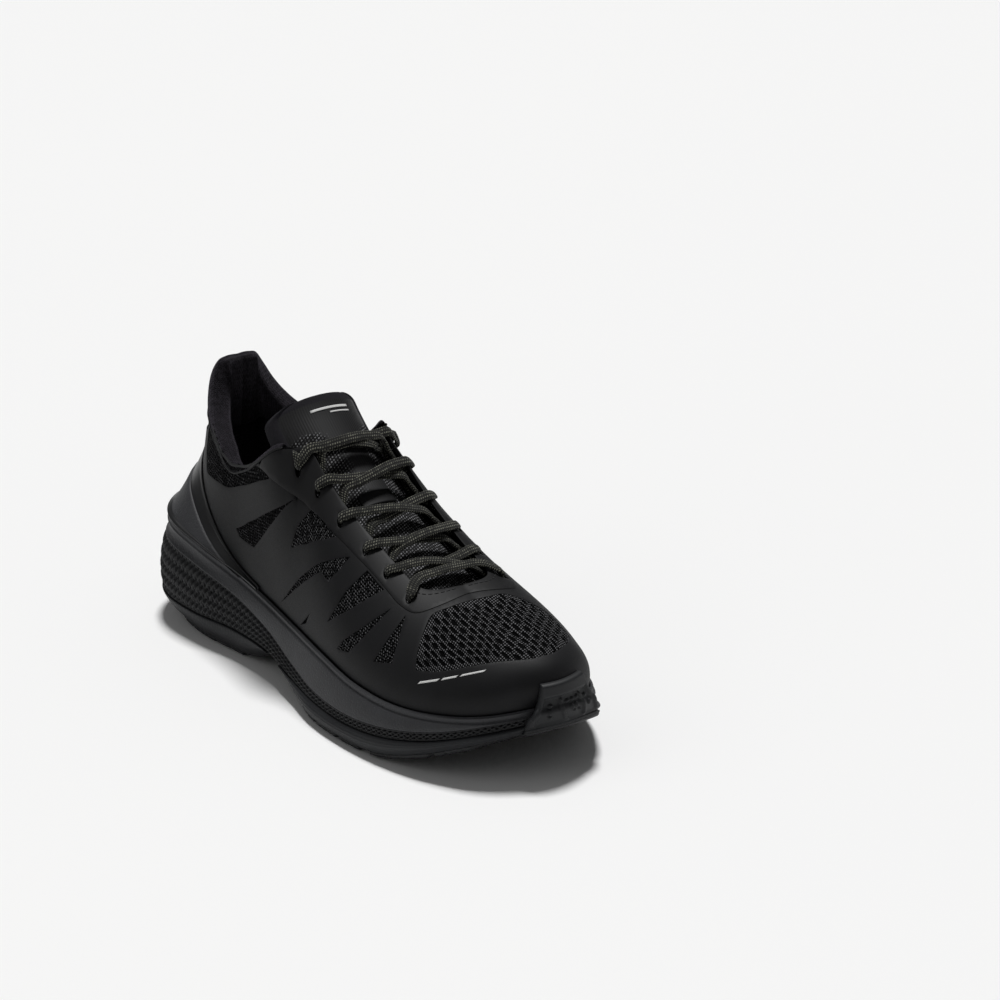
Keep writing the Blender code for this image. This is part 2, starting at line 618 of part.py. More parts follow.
def pod(name, x0, x1, medial, y_in, n):
    """Rubber tread pod with a flat contact face."""
    sign = 1 if medial else -1
    bm = bmesh.new()
    rows = []
    for i in range(n + 1):
        x = x0 + (x1 - x0) * i / n
        yi = sign * (y_in[0] + (y_in[1] - y_in[0]) * i / n)
        yo = outer_edge(x, medial)
        row = []
        for t in (0, 0.5, 1):
            y = yi + (yo - yi) * t
            row.append(bm.verts.new((x * MM, y * MM, (float(smooth(GROUND, x)) + RUBBER_T) * MM)))
        rows.append(row)
    for a, b in zip(rows, rows[1:]):
        for j in range(2):
            f = [a[j], b[j], b[j + 1], a[j + 1]]
            bm.faces.new(f if medial else f[::-1])
    bm.normal_update()
    if bm.faces[:][0].normal.z < 0:
        bmesh.ops.reverse_faces(bm, faces=bm.faces[:])
    return add(name, bm, RUBBER, 0.7, RUBBER_T, -1.0)


pod("outsole_heel_lateral", -130, -62.5, False, (5, 9), 6)
pod("outsole_heel_medial", -130, -62.5, True, (5, 9), 6)
pod("outsole_ball_lateral_1", 6.5, 26, False, (12, 12), 2)
pod("outsole_ball_lateral_2", 29, 47, False, (12, 12), 2)
pod("outsole_ball_lateral_3", 50, 65.5, False, (12, 12), 2)
pod("outsole_ball_medial_1", 6.5, 26, True, (12, 12), 2)
pod("outsole_ball_medial_2", 29, 47, True, (12, 12), 2)
pod("outsole_ball_medial_3", 50, 65.5, True, (12, 12), 2)
pod("outsole_toe_lateral", 74, 108, False, (12, 9), 4)
pod("outsole_toe_medial", 74, 108, True, (12, 9), 4)

# Toe rubber: wraps from the tread up the front and over the bite line
bm = bmesh.new()
grid = []
TOE_L = [10.95, 10.95, 11.0, 11.15, 11.3, 11.45, 11.55, 11.65, 11.75]
TOE_M = [11.35, 11.35, 11.35, 11.4, 11.4, 11.45, 11.45, 11.5, 11.55]
for r in range(9):
    row = []
    for k in range(13):
        a, b = TOE_L[r], ROUND - TOE_M[r]
        u = (a + (b - a) * k / 12) / ROUND
        p, n = plan(u)
        o_r, z_r = around(RIDGE_LOOP, u)
        o_b, z_b = around(BAND_LOOP, u)
        o_f = float(around(FOOT_LOOP, u)[0])
        w = float(around(LIP_LOOP, u)[0])
        zb = float(around(RIB_LOOP, u)[0])
        if r == 0:
            e = p + n * o_f
            q = np.array([112 + (e[0] - 112) * 0.35, e[1] * 0.92])
            pt = [q[0], q[1], float(smooth(GROUND, q[0])) + RUBBER_T - 0.1]
        elif r == 1:
            q = p + n * (o_f + 0.25)
            pt = [q[0], q[1], float(smooth(GROUND, q[0])) + RUBBER_T - 0.1]
        elif r == 2:
            q = p + n * ((o_b + o_f) / 2 + 1.4)
            g = float(smooth(GROUND, p[0])) + RUBBER_T + GAP
            pt = [q[0], q[1], (z_b - G + g) / 2 - 0.1]
        elif r == 3:
            pt = [*(p + n * (o_b + 0.6)), z_b]
        elif r == 4:
            pt = [*(p + n * (max(o_r, o_b) + 0.8)), z_r]
        elif r == 5:
            pt = [*(p + n * (max((1.3 + w + o_r) / 2 + 1.1, o_r) + 0.6)), (zb + z_r) / 2]
        elif r == 6:
            pt = [*(p + n * (1.3 + w + 0.9)), zb + 0.6]
        elif r == 7:
            pt = shell(u, 0.1, GAP + FILM_T + 0.9)
        else:
            pt = shell(u, 0.26, GAP + FILM_T + GAP)
        row.append(bm.verts.new((np.asarray(pt, float) * MM).tolist()))
    grid.append(row)
for a, b in zip(grid, grid[1:]):
    for j in range(12):
        bm.faces.new([a[j], a[j + 1], b[j + 1], b[j]])
bm.normal_update()
add("toe_rubber", bm, RUBBER, 0.7, 1.6, 1.0)

# Strobel board and sockliner lie in the midsole well
for name, lo, hi, inset, tint in (("strobel", 0.35, 1.15, 1.7, (0.5, 0.5, 0.48)),
                                  ("insole", 1.5, 6.0, 5.0, (0.06, 0.06, 0.07))):
    ins = np.array([inset if name == "strobel" else float(np.interp(s, [0, 5, 7, 10, 12], [5, 4.6, 2.8, 3, 3.8]))
                    for s in list(range(HALF + 1)) + list(range(HALF - 1, 0, -1))])
    ins = around(ins[:, None], US)[:, 0]
    e1 = edge_row(-ins, prof(BED, hi))
    e0 = edge_row(-ins, prof(BED, lo))
    rows = [inner_row(e1, 0, prof(BED, hi)), inner_row(e1, 0.6, prof(BED, hi)), e1, e0,
            inner_row(e0, 0.6, prof(BED, lo)), inner_row(e0, 0, prof(BED, lo))]
    body = stack(rows)
    add(name + "_rear", rear_part(body.copy(), True), tint, 0.9)
    add(name + "_forefoot", front_part(body.copy(), True), tint, 0.9)
    body.free()

# ---------------------------------------------------------------- tongue
SPINE = [(0, 79, 61.5), (1, 64, 64.5), (2, 38, 73), (3, 10, 85), (4, -16, 101.0),
         (5, FLAP_X, FLAP_Z)]
ARC = [(0, 70, 24), (1, 62, 25), (2, 48, 26), (3, 37, 26), (4, 31, 25.5), (5, 29, 25)]
ARC_Y = [(0, 0), (2, -1), (4, -2), (5, -2)]


def arc_row(x, z, tx, tz, radius, half, thick, n=8, y0=0.0):
    """Closed section: outer arc then inner arc, in the plane square to the spine."""
    nx, nz = tz, -tx
    if nz < 0:
        nx, nz = -nx, -nz
    outer, inner = [], []
    for j in range(n + 1):
        y = half * (2 * j / n - 1)
        a = math.asin(max(-1, min(1, y / radius)))
        t = thick * (1 - 0.55 * abs(2 * j / n - 1) ** 3)
        for r, bag in ((radius, outer), (radius - t, inner)):
            drop = radius - r * math.cos(a)
            bag.append((x - nx * drop, y0 + r * math.sin(a), z - nz * drop))
    return outer + inner[::-1]


def tongue_rows(ts, spine, arcs, thick, centre):
    rows = []
    for t in ts:
        x, z = smooth(spine, t)
        xa, za = smooth(spine, t + 1e-3)
        xb, zb = smooth(spine, t - 1e-3)
        d = np.array([xa - xb, za - zb])
        d /= np.linalg.norm(d)
        radius, half = smooth(arcs, t)
        rows.append(arc_row(x, z, d[0], d[1], radius, half, thick(t), y0=centre(t)))
    return rows


rows = tongue_rows(np.linspace(0.02, 4.985, 16), SPINE, ARC, lambda t: 1.6 + 2.9 * min(1, t / 2),
                   lambda t: float(smooth(ARC_Y, t)))
add("tongue", loft(rows), (0.03, 0.028, 0.034), 0.85)
FLAP = [(0, FLAP_X, FLAP_Z), (1, FLAP_X - 5, FLAP_Z + 4.6), (2, FLAP_X - 9.5, FLAP_Z + 9)]
FARC = [(0, 29, 25), (1, 29, 24.5), (2, 29, 23)]
rows = tongue_rows([0.03, 0.7, 1.4, 1.999], FLAP, FARC, lambda t: 4.5 - 0.5 * t, lambda t: -2.0)
add("tongue_flap", loft(rows), (0.03, 0.028, 0.034), 0.85)

# Lace keeper: a short strap on the tongue
rows = []
for t in (3.35, 3.5, 3.65):
    x, z = smooth(SPINE, t)
    xa, za = smooth(SPINE, t + 1e-2)
    d = np.array([xa - x, za - z])
    d /= np.linalg.norm(d)
    nx, nz = (d[1], -d[0]) if d[0] < 0 and -d[0] > 0 else (-d[1], d[0])
    if nz < 0:
        nx, nz = -nx, -nz
    rr = float(smooth(ARC, t)[0]) + GAP
    rows.append(arc_row(x + nx * (GAP + 0.8), z + nz * (GAP + 0.8), d[0], d[1], rr + 0.8, 9, 0.8, 4, -1.5))
add("lace_keeper", loft(rows), (0.02, 0.02, 0.022), 0.8)


# ---------------------------------------------------------------- shoelace
STAY_TOP = GAP + STAY_T


def spot(s, v, off, medial, width, along):
    """Lace point: position, up, width factor, width direction (along the row or across it)."""
    u = side_u(s, medial)
    p = shell(u, v, off)
    n = shell(u, v, off + 1) - p
    d = shell(u + 2e-3, v, off) - shell(u - 2e-3, v, off)
    d /= np.linalg.norm(d)
    if medial:
        d = -d
    if not along:
        d = np.cross(n, d)
    return p, n, width, d


def plunge(i, m):
    s, v = EYELETS[i]
    return [spot(s, v + 0.012, STAY_TOP + 1.9, m, 0.75, True),
            spot(s, v + 0.002, STAY_TOP + 0.6, m, 0.5, True),
            spot(s, v, -0.9, m, 0.46, True), spot(s, v + 0.006, -MESH_T - 1.9, m, 0.46, True)]


def under(i, m):
    """Run under the eyestay from eyelet i to the throat edge below the next one up."""
    (s1, v1), (s2, v2) = EYELETS[i], EYELETS[i - 1]
    return [spot(s1 * 0.75 + s2 * 0.25, (v1 + v2) / 2 + 0.03, -MESH_T - 2.1, m, 0.5, True),
            spot(s1 * 0.55 + s2 * 0.45, (v1 + v2) / 2 + 0.07, -MESH_T - 2.1, m, 0.55, True)]


def crossing(i, m, lift):
    """Over the tongue from under the stay at one side to the eyelet above at the other."""
    (s1, v1), (s2, v2) = EYELETS[i], EYELETS[i - 1]
    a = spot(s1 * 0.45 + s2 * 0.55, (v1 + v2) / 2 + 0.15, -1.9, m, 0.8, True)
    b = spot(s2, v2 + 0.10, STAY_TOP + 1.3, not m, 1.0, True)
    c = spot(s2, v2 + 0.05, STAY_TOP + 1.9, not m, 1.0, True)
    out = []
    for t in (0.0, 0.18, 0.36, 0.5, 0.64, 0.82, 1.0):
        q = a[0] * (1 - t) + b[0] * t
        n = a[1] * (1 - t) + b[1] * t
        n = n / np.linalg.norm(n)
        d = np.cross(b[0] - a[0], n)
        d = d / np.linalg.norm(d)
        d = d if d[0] > 0 else -d
        out.append((q + n * math.sin(math.pi * t) * lift, n, 1.0, d))
    return out + [c]


def strand(m, lift):
    pts = []
    for i in range(5, 0, -1):
        pts += plunge(i, m)[(3 if i == 5 else 0):]
        pts += under(i, m)
        pts += crossing(i, m, lift)
        m = not m
    pts += plunge(0, m)
    s, v = EYELETS[0]
    pts += [spot(s + 0.1, v - 0.12, -MESH_T - 1.9, m, 0.5, True),
            spot(s + 0.15, v - 0.25, -MESH_T - 2.0, m, 0.5, True)]
    return pts


def lace_body(pts, step=4.2, sides=6):
    p, n, w, d = (np.array([q[k] for q in pts]) for k in range(4))
    t = np.concatenate([[0], np.cumsum(np.linalg.norm(np.diff(p, axis=0), axis=1))])
    count = [max(1, int(round(x / step))) for x in np.diff(t)]
    at = np.concatenate([np.linspace(a, b, k, endpoint=False)
                         for a, b, k in zip(t[:-1], t[1:], count)] + [[t[-1]]])
    m = smooth(np.concatenate([t[:, None], p, n, w[:, None], d], 1), at)
    p, n, w, d = m[:, :3], m[:, 3:6], m[:, 6], m[:, 7:10]
    tan = np.gradient(p, axis=0)
    tan /= np.linalg.norm(tan, axis=1, keepdims=True)
    rows = []
    for i in range(len(p)):
        side = d[i] - tan[i] * np.dot(d[i], tan[i])
        side /= np.linalg.norm(side)
        up = np.cross(tan[i], side)
        row = []
        for k in range(sides):
            a = 2 * math.pi * k / sides
            row.append(p[i] + side * math.cos(a) * LACE_W / 2 * w[i] + up * math.sin(a) * LACE_T / 1.8)
        rows.append(row)
    return loft(rows)


first = strand(False, 0.6)
second = strand(True, 3.0)
left, right = plunge(5, False)[:3], plunge(5, True)[:3]
bar = left[::-1]
ends = []
for m in (False, True):
    s6, v6 = EYELETS[5]
    ends.append([spot(s6, v6 + 0.05, STAY_TOP + 1.9, m, 1.0, True),
                 spot(s6, v6 + 0.12, STAY_TOP + 1.7, m, 1.0, True)])
bar += ends[0]
for t in (0.3, 0.5, 0.7):
    q = ends[0][1][0] * (1 - t) + ends[1][1][0] * t
    n = ends[0][1][1] * (1 - t) + ends[1][1][1] * t
    n = n / np.linalg.norm(n)
    back = np.array([-1.5 * math.sin(math.pi * t), 0, 0])
    bar.append((q + n * math.sin(math.pi * t) * 1.0 + back, n, 1.0, left[0][3]))
bar += ends[1][::-1] + right
add("shoelace", lace_body(first[::-1] + bar + second), (0.02, 0.02, 0.02), 0.9)

# ---------------------------------------------------------------- joint axes and origin
AXES = [("axis_toe_flex", (FLEX_X, 0, FLEX_Z)), ("axis_tongue_flap", (FLAP_X, 0, FLAP_Z)),
        ("axis_insole_lift", (FLEX_X - 0.2, 0, 29.9))]
for name, co in AXES:
    e = bpy.data.objects.new(name, None)
    e.empty_display_size = 0.02
    e.location = Vector(co) * MM
    PARTS.objects.link(e)

# Bring the centre of the footprint to the origin
for ob in PARTS.objects:
    if ob.type == "MESH":
        ob.data.transform(Matrix.Translation(Vector(CENTRE) * MM))
    else:
        ob.location += Vector(CENTRE) * MM
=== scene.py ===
"""Running shoe for the right foot: the looks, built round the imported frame.

The form tables are millimetres in the shoe's own layout: +X towards the toe, -Y lateral, +Y medial,
+Z up. place() brings them into the row frame, whose origin is the centre of the footprint.
"""
import math
from contextlib import contextmanager

import bmesh
import bpy
import numpy as np
from mathutils import Matrix, Vector
from mathutils.geometry import delaunay_2d_cdt


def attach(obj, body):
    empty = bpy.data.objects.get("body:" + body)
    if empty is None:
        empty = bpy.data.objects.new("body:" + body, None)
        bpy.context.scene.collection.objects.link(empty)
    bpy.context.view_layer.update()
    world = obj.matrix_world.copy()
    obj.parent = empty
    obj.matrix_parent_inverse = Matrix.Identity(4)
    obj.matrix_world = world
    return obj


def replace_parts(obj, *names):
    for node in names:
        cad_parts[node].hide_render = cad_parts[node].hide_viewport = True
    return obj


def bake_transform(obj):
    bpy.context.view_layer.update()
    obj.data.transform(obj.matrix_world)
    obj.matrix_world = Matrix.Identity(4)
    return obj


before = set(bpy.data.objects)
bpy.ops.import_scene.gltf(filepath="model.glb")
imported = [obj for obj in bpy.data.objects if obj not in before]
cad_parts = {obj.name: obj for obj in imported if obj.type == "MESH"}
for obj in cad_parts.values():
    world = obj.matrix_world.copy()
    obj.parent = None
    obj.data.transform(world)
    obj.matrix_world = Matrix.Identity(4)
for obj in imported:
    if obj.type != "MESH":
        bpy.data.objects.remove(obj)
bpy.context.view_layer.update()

MM = 0.001
CENTRE = np.array([6.1, 1.9, 0.0])    # layout origin in the row frame, mm

# Bite line in plan at 13 stations from heel to toe: x, y lateral, y medial
PLAN = [(-137, 0, 0), (-133, -15, 15), (-120, -27, 26.5), (-96, -34, 33), (-66, -36.5, 34),
        (-35, -39.5, 32), (-5, -44, 35), (25, -49, 41), (55, -51.5, 46.5), (84, -49, 48),
        (109, -41, 40.3), (129, -26, 27.4), (139, 2, 2)]
# Crown each rib of the upper leads to: x, half width, z (ankle ring, then instep spine)
CROWN = [(-131, 0, 150), (-129.7, 12, 150), (-117, 17, 150), (-101, 24, 150), (-82, 27, 150),
         (-64, 24, 150), (-46, 0, 134), (-14, 0, 105.5), (18, 0, 87.5), (50, 0, 75), (78, 0, 68),
         (98, 0, 63.5), (110, 0, 60.5)]
# Rib shape: bite height, bulge, rise, 0 upright .. 1 flat at the crown, length at the crown
RIB = [(53, 3, 30, 0, 32), (52.5, 3, 30, 0, 32), (51, 3, 30, 0, 32), (47, 3, 30, 0, 32),
       (40, 3, 30, 0.1, 32), (36.5, 3, 34, 0.5, 30), (34.5, 3, 36, 1, 26), (33, 3, 30, 1, 28),
       (30, 3, 24, 1, 30), (28.5, 3, 22, 1, 30), (30, 4, 20, 1, 28), (33, 6, 20, 1, 24),
       (36, 8, 18, 1, 22)]
# Sole wall at the stations: (offset outside the bite line, z)
RIDGE = [(20, 42.5), (20.5, 42), (18.5, 40.5), (12, 37), (6.5, 31), (5, 24.5), (5.5, 18), (6.3, 14.5),
         (6, 14.5), (5.6, 17.5), (4.4, 22.5), (3.2, 29), (3.6, 33)]
BAND = [(21, 15.5), (21.5, 15), (20.5, 13.5), (14, 13), (8.5, 14), (6, 13.5), (6.6, 11), (7, 9.8),
        (6.5, 10.2), (6, 13), (4.9, 18.5), (3.7, 25.5), (4.1, 30)]
FOOT = [(8, 0), (10, 0), (12.5, 0), (10.5, 0), (6, 0), (2, 0), (4, 0), (8.5, 0), (7.5, 0), (6.4, 0),
        (5.3, 0), (4, 0), (3, 0)]
LIP = [(18, 0), (18, 0), (15.5, 0), (9, 0), (2.6, 0), (1.8, 0), (1.8, 0), (1.8, 0), (1.8, 0),
       (1.8, 0), (1.8, 0), (1.6, 0), (1.4, 0)]
# Profiles along the shoe: x, z
BED = [(-140, 35), (-96, 33.5), (-66, 31.5), (-35, 29), (-5, 26.5), (25, 24.5), (55, 23.5),
       (84, 24.5), (109, 27.5), (129, 32), (141, 35)]
PART_1 = [(-140, 27), (-96, 26), (-66, 24), (-35, 21), (-5, 17.5), (25, 15.5), (55, 15), (84, 17.5),
          (109, 22), (129, 28), (141, 31.5)]
PART_2 = [(-140, 14.5), (-96, 13.5), (-66, 13.8), (-35, 13.3), (-5, 11), (25, 9.8), (55, 10),
          (84, 12.5), (109, 18), (129, 25), (141, 29)]
GROUND = [(-160, 9), (-150, 5.5), (-140, 2.4), (-130, 0.5), (-124, 0), (-62, 0), (-48, 2.4),
          (-36, 7.6), (-26, 9), (-16, 7.6), (-4, 2.4), (6, 0), (66, 0), (84, 2), (100, 6.4),
          (112, 10.6), (125, 16), (139, 22), (152, 28)]
# Topline height at the stations, both sides
TOPLINE = [(0, 126), (0.5, 125.8), (0.9, 124.4), (1.2, 119.5), (1.5, 113.2), (2, 105), (2.5, 99.5),
           (3, 94.8), (3.35, 90), (3.65, 88.7), (4, 91.8), (4.43, 98), (4.83, 106), (5.2, 112.4),
           (5.55, 114.4)]
# Throat edge, eyestay seam and eyelets in surface coordinates (station, height fraction)
THROAT = [(5.85, 0.63), (6.38, 0.635), (7.0, 0.675), (7.66, 0.71), (8.25, 0.73), (8.9, 0.74),
          (9.3, 0.84), (9.6, 1.0)]
SEAM = [(4.5, 0.5), (5.13, 0.475), (5.6, 0.455), (6.13, 0.46), (6.67, 0.51), (7.2, 0.55),
        (7.87, 0.585), (8.33, 0.585), (8.67, 0.575), (9.03, 0.595), (9.3, 0.675), (9.6, 0.82),
        (9.85, 1.0)]
EYELETS = [(5.74, 0.548), (6.3, 0.56), (6.95, 0.6), (7.66, 0.64), (8.23, 0.655), (8.83, 0.645)]
HALF = len(PLAN) - 1
ROUND = 2 * HALF


def smooth(knots, x):
    """Smooth curve through knots (x, values...)."""
    k = np.asarray(knots, float)
    t, p = k[:, 0], k[:, 1:]
    x = np.clip(np.asarray(x, float), t[0], t[-1])
    m = np.gradient(p, t, axis=0)
    flat = np.zeros_like(p, bool)
    flat[1:] |= np.abs(np.diff(p, axis=0)) < 1e-9
    flat[:-1] |= np.abs(np.diff(p, axis=0)) < 1e-9
    m[flat] = 0.0
    i = np.clip(np.searchsorted(t, x, side="right") - 1, 0, len(t) - 2)
    h = (t[i + 1] - t[i])[..., None]
    a = ((x - t[i]) / (t[i + 1] - t[i]))[..., None]
    a2, a3 = a * a, a * a * a
    out = ((2 * a3 - 3 * a2 + 1) * p[i] + (a3 - 2 * a2 + a) * h * m[i]
           + (3 * a2 - 2 * a3) * p[i + 1] + (a3 - a2) * h * m[i + 1])
    return out[..., 0] if out.shape[-1] == 1 else out


def mirrored(rows, flip=None):
    """Closed loop from one side's rows, with column flip negated on the way back."""
    rows = [list(r) for r in rows]
    back = [list(r) for r in rows[-2:0:-1]]
    if flip is not None:
        for r in back:
            r[flip] = -r[flip]
    return np.array(rows + back, float)


PLAN_LOOP = np.array([(x, a) for x, a, b in PLAN] + [(x, b) for x, a, b in PLAN][-2:0:-1], float)
CROWN_LOOP = mirrored([(x, -h, z) for x, h, z in CROWN], 1)
RIB_LOOP = mirrored(RIB)
RIDGE_LOOP = mirrored(RIDGE)
BAND_LOOP = mirrored(BAND)
FOOT_LOOP = mirrored(FOOT)
LIP_LOOP = mirrored(LIP)


def catmull(p0, p1, p2, p3, a):
    """Catmull-Rom curve between p1 (a = 0) and p2 (a = 1)."""
    return 0.5 * (2 * p1 + (p2 - p0) * a + (2 * p0 - 5 * p1 + 4 * p2 - p3) * a ** 2
                  + (3 * p1 - p0 - 3 * p2 + p3) * a ** 3)


def around(loop, u):
    """Closed smooth curve through the loop points, u from 0 to 1 round the shoe."""
    n = len(loop)
    t = (np.asarray(u, float) % 1.0) * n
    i = np.floor(t).astype(int)
    return catmull(*(loop[(i + k) % n] for k in (-1, 0, 1, 2)), (t - i)[..., None])


def plan(u):
    """Bite line point in plan at u, and its outward normal."""
    p = around(PLAN_LOOP, u)
    d = around(PLAN_LOOP, np.asarray(u) + 1e-3) - around(PLAN_LOOP, np.asarray(u) - 1e-3)
    d /= np.linalg.norm(d, axis=-1, keepdims=True)
    return p, np.stack([d[..., 1], -d[..., 0]], -1)


def crown(u):
    """Crown point that the rib at u leads to."""
    c = around(CROWN_LOOP, u)
    s = (np.asarray(u, float) % 1.0) * ROUND
    y = np.where(s <= HALF, np.minimum(c[..., 1], 0), np.maximum(c[..., 1], 0))
    c[..., 1] = np.where((s >= 6) & (s <= ROUND - 6), 0.0, y)
    return c


def raw(u, v):
    """Upper surface without offset: a cubic rib from the bite line to the crown; v < 0 goes into the well."""
    u = np.asarray(u, float)
    v = np.asarray(v, float)
    p, n = plan(u)
    c = crown(u)
    r = around(RIB_LOOP, u)
    up = np.array([0, 0, 1.0])
    foot = np.concatenate([p, r[..., 0:1]], -1)
    out = np.concatenate([n, np.zeros_like(r[..., 0:1])], -1)
    c1 = foot + out * r[..., 1:2] + up * r[..., 2:3]
    flat = np.clip(r[..., 3:4], 0, 1)
    d = foot - c
    d[..., 2] = 0
    d /= np.maximum(np.linalg.norm(d, axis=-1, keepdims=True), 1e-6)
    c2 = c + d * r[..., 4:5] * flat - up * r[..., 4:5] * (1 - flat)
    a = np.clip(v, 0, 1)[..., None]
    w = 1 - a
    q = w ** 3 * foot + 3 * w * w * a * c1 + 3 * w * a * a * c2 + a ** 3 * c
    drop = np.clip(-v, 0, 1) / 0.15 * (r[..., 0] - smooth(BED, p[..., 0]) - 0.5)
    q[..., 2] -= drop
    return q


def shell(u, v, off=0.0):
    """Upper surface: u round the shoe, v from the bite line (0) to the crown (1)."""
    u = np.asarray(u, float)
    v = np.asarray(v, float)
    q = raw(u, v)
    vv = np.clip(v, -0.14, 0.985)
    e = 2e-3
    du = raw(u + e, vv) - raw(u - e, vv)
    dv = raw(u, np.minimum(vv + e, 1)) - raw(u, vv - e)
    n = np.cross(du, dv)
    n /= np.linalg.norm(n, axis=-1, keepdims=True)
    s = (u % 1.0) * ROUND
    spine = (v > 0.999) & (s >= 6) & (s <= ROUND - 6)
    n[..., 1] = np.where(spine, 0.0, n[..., 1])
    n /= np.linalg.norm(n, axis=-1, keepdims=True)
    return q + n * np.asarray(off, float)[..., None]


def surface_point(u, v, off):
    """One point of the upper surface."""
    return shell(np.array(float(u)), np.array(float(v)), np.array(float(off)))


def height_fraction(s, z):
    """v where the rib at station s reaches height z."""
    vs = np.linspace(0, 1, 201)
    zs = raw(np.full(201, s / ROUND), vs)[:, 2]
    return float(np.interp(z, zs, vs))


TOPLINE_V = [(s, height_fraction(s, z)) for s, z in TOPLINE]

# ---------------------------------------------------------------- mesh helpers
SCENE = bpy.context.scene


def place(p):
    """Layout millimetres to metres in the row frame."""
    return (np.asarray(p, float) + CENTRE) * MM


def piece(name, co, faces, mat, slot, uv=None, loop_uv=None):
    """Mesh object from layout points in mm; uv per point or per face corner, in mm."""
    me = bpy.data.meshes.new(name)
    me.from_pydata(place(co).tolist(), [], faces)
    if uv is not None:
        idx = np.empty(len(me.loops), int)
        me.loops.foreach_get("vertex_index", idx)
        loop_uv = np.asarray(uv, float)[idx]
    if loop_uv is not None:
        layer = me.uv_layers.new(name="mm")
        layer.data.foreach_set("uv", np.asarray(loop_uv, np.float32).ravel())
    me.polygons.foreach_set("use_smooth", np.ones(len(me.polygons), bool))
    ob = bpy.data.objects.new(name, me)
    SCENE.collection.objects.link(ob)
    for m in mat if isinstance(mat, (list, tuple)) else [mat]:
        me.materials.append(m)
    return ob


def sheet(name, pts, mat, slot, close_rows=False, close_cols=False, caps=False, flip=None):
    """Quad grid over rows x columns of points. A closed form turns outward by itself."""
    p = np.asarray(pts, float)
    nr, nc = p.shape[:2]
    i, j = np.meshgrid(np.arange(nr if close_rows else nr - 1),
                       np.arange(nc if close_cols else nc - 1), indexing="ij")
    i, j = i.ravel(), j.ravel()
    i1, j1 = i + 1, j + 1
    quad = np.stack([i * nc + j, i * nc + j1 % nc, (i1 % nr) * nc + j1 % nc, (i1 % nr) * nc + j], 1)
    step_r = np.linalg.norm(np.roll(p, -1, 0) - p, axis=2).mean(1)
    step_c = np.linalg.norm(np.roll(p, -1, 1) - p, axis=2).mean(0)
    along = np.concatenate([[0], np.cumsum(step_r)])
    across = np.concatenate([[0], np.cumsum(step_c)])
    uv = np.stack([np.stack([along[a], across[b]], 1) for a, b in ((i, j), (i, j1), (i1, j1), (i1, j))], 1)
    flat = p.reshape(-1, 3)
    if flip is None:
        q = flat[quad] - flat.mean(0)
        vol = (np.einsum("ij,ij->i", q[:, 0], np.cross(q[:, 1], q[:, 2]))
               + np.einsum("ij,ij->i", q[:, 0], np.cross(q[:, 2], q[:, 3]))).sum()
        flip = vol < 0
    first, last = list(range(nc))[::-1], list(range((nr - 1) * nc, nr * nc))
    if flip:
        quad, uv = quad[:, ::-1], uv[:, ::-1]
        first, last = first[::-1], last[::-1]
    faces, uv = quad.tolist(), uv.reshape(-1, 2)
    if caps:
        faces += [first, last]
        uv = np.concatenate([uv, np.zeros((2 * nc, 2))])
    return piece(name, flat, faces, mat, slot, loop_uv=uv)


@contextmanager
def editing(ob):
    """The mesh of a piece as a bmesh, written back at the end."""
    bm = bmesh.new()
    bm.from_mesh(ob.data)
    yield bm
    bm.to_mesh(ob.data)
    bm.free()


def bake(ob):
    """Apply the modifiers of a piece to its mesh."""
    bpy.context.view_layer.update()
    dg = bpy.context.evaluated_depsgraph_get()
    me = bpy.data.meshes.new_from_object(ob.evaluated_get(dg))
    ob.modifiers.clear()
    ob.data = me
    return ob


def thicken(ob, thick, side=1.0, bevel=0.0):
    """Give a sheet a thickness in mm, outward (1) or inward (-1)."""
    mod = ob.modifiers.new("thickness", "SOLIDIFY")
    mod.thickness = thick * MM
    mod.offset = side
    mod.use_even_offset = False
    if bevel:
        b = ob.modifiers.new("edge", "BEVEL")
        b.width = bevel * MM
        b.segments = 2
        b.limit_method = "ANGLE"
        b.angle_limit = math.radians(60)
    return bake(ob)


def tag(ob, name, values):
    """Per-point number that a material reads."""
    a = ob.data.attributes.new(name, "FLOAT", "POINT")
    a.data.foreach_set("value", np.asarray(values, np.float32))


def flex(ob, *nodes):
    """Piece that spans rearfoot to forefoot: bakes its transform into the mesh and hides the frame parts it
    replaces.
    """
    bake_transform(ob)
    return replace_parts(ob, *nodes) if nodes else ob


def rear(ob, *nodes):
    """Piece that stays with the rearfoot."""
    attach(ob, "rearfoot")
    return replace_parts(ob, *nodes) if nodes else ob


def step(x, a, b):
    """0 below a, 1 above b, smooth between."""
    t = np.clip((np.asarray(x, float) - a) / (b - a), 0, 1)
    return t * t * (3 - 2 * t)


def spline(points, per):
    """Smooth curve through points, with per samples on each span."""
    p = np.asarray(points, float)
    last = len(p) - 1
    out = []
    for k in range(last):
        span = p[[max(k - 1, 0), k, k + 1, min(k + 2, last)]]
        out += [catmull(*span, t) for t in np.arange(per) / per]
    return np.array(out + [p[-1]])


def lengths(path):
    """Distance along a path at each of its points."""
    return np.concatenate([[0], np.cumsum(np.linalg.norm(np.diff(path, axis=0), axis=1))])


def curve(points, per):
    """Smooth curve as a list of plain pairs."""
    return [(float(a), float(b)) for a, b in spline(points, per)]


def chamfered(poly, ratio=0.12):
    """Closed outline with its corners cut off."""
    p = np.asarray(poly, float)
    nxt = np.roll(p, -1, 0)
    return np.stack([p + (nxt - p) * ratio, nxt + (p - nxt) * ratio], 1).reshape(-1, 2)


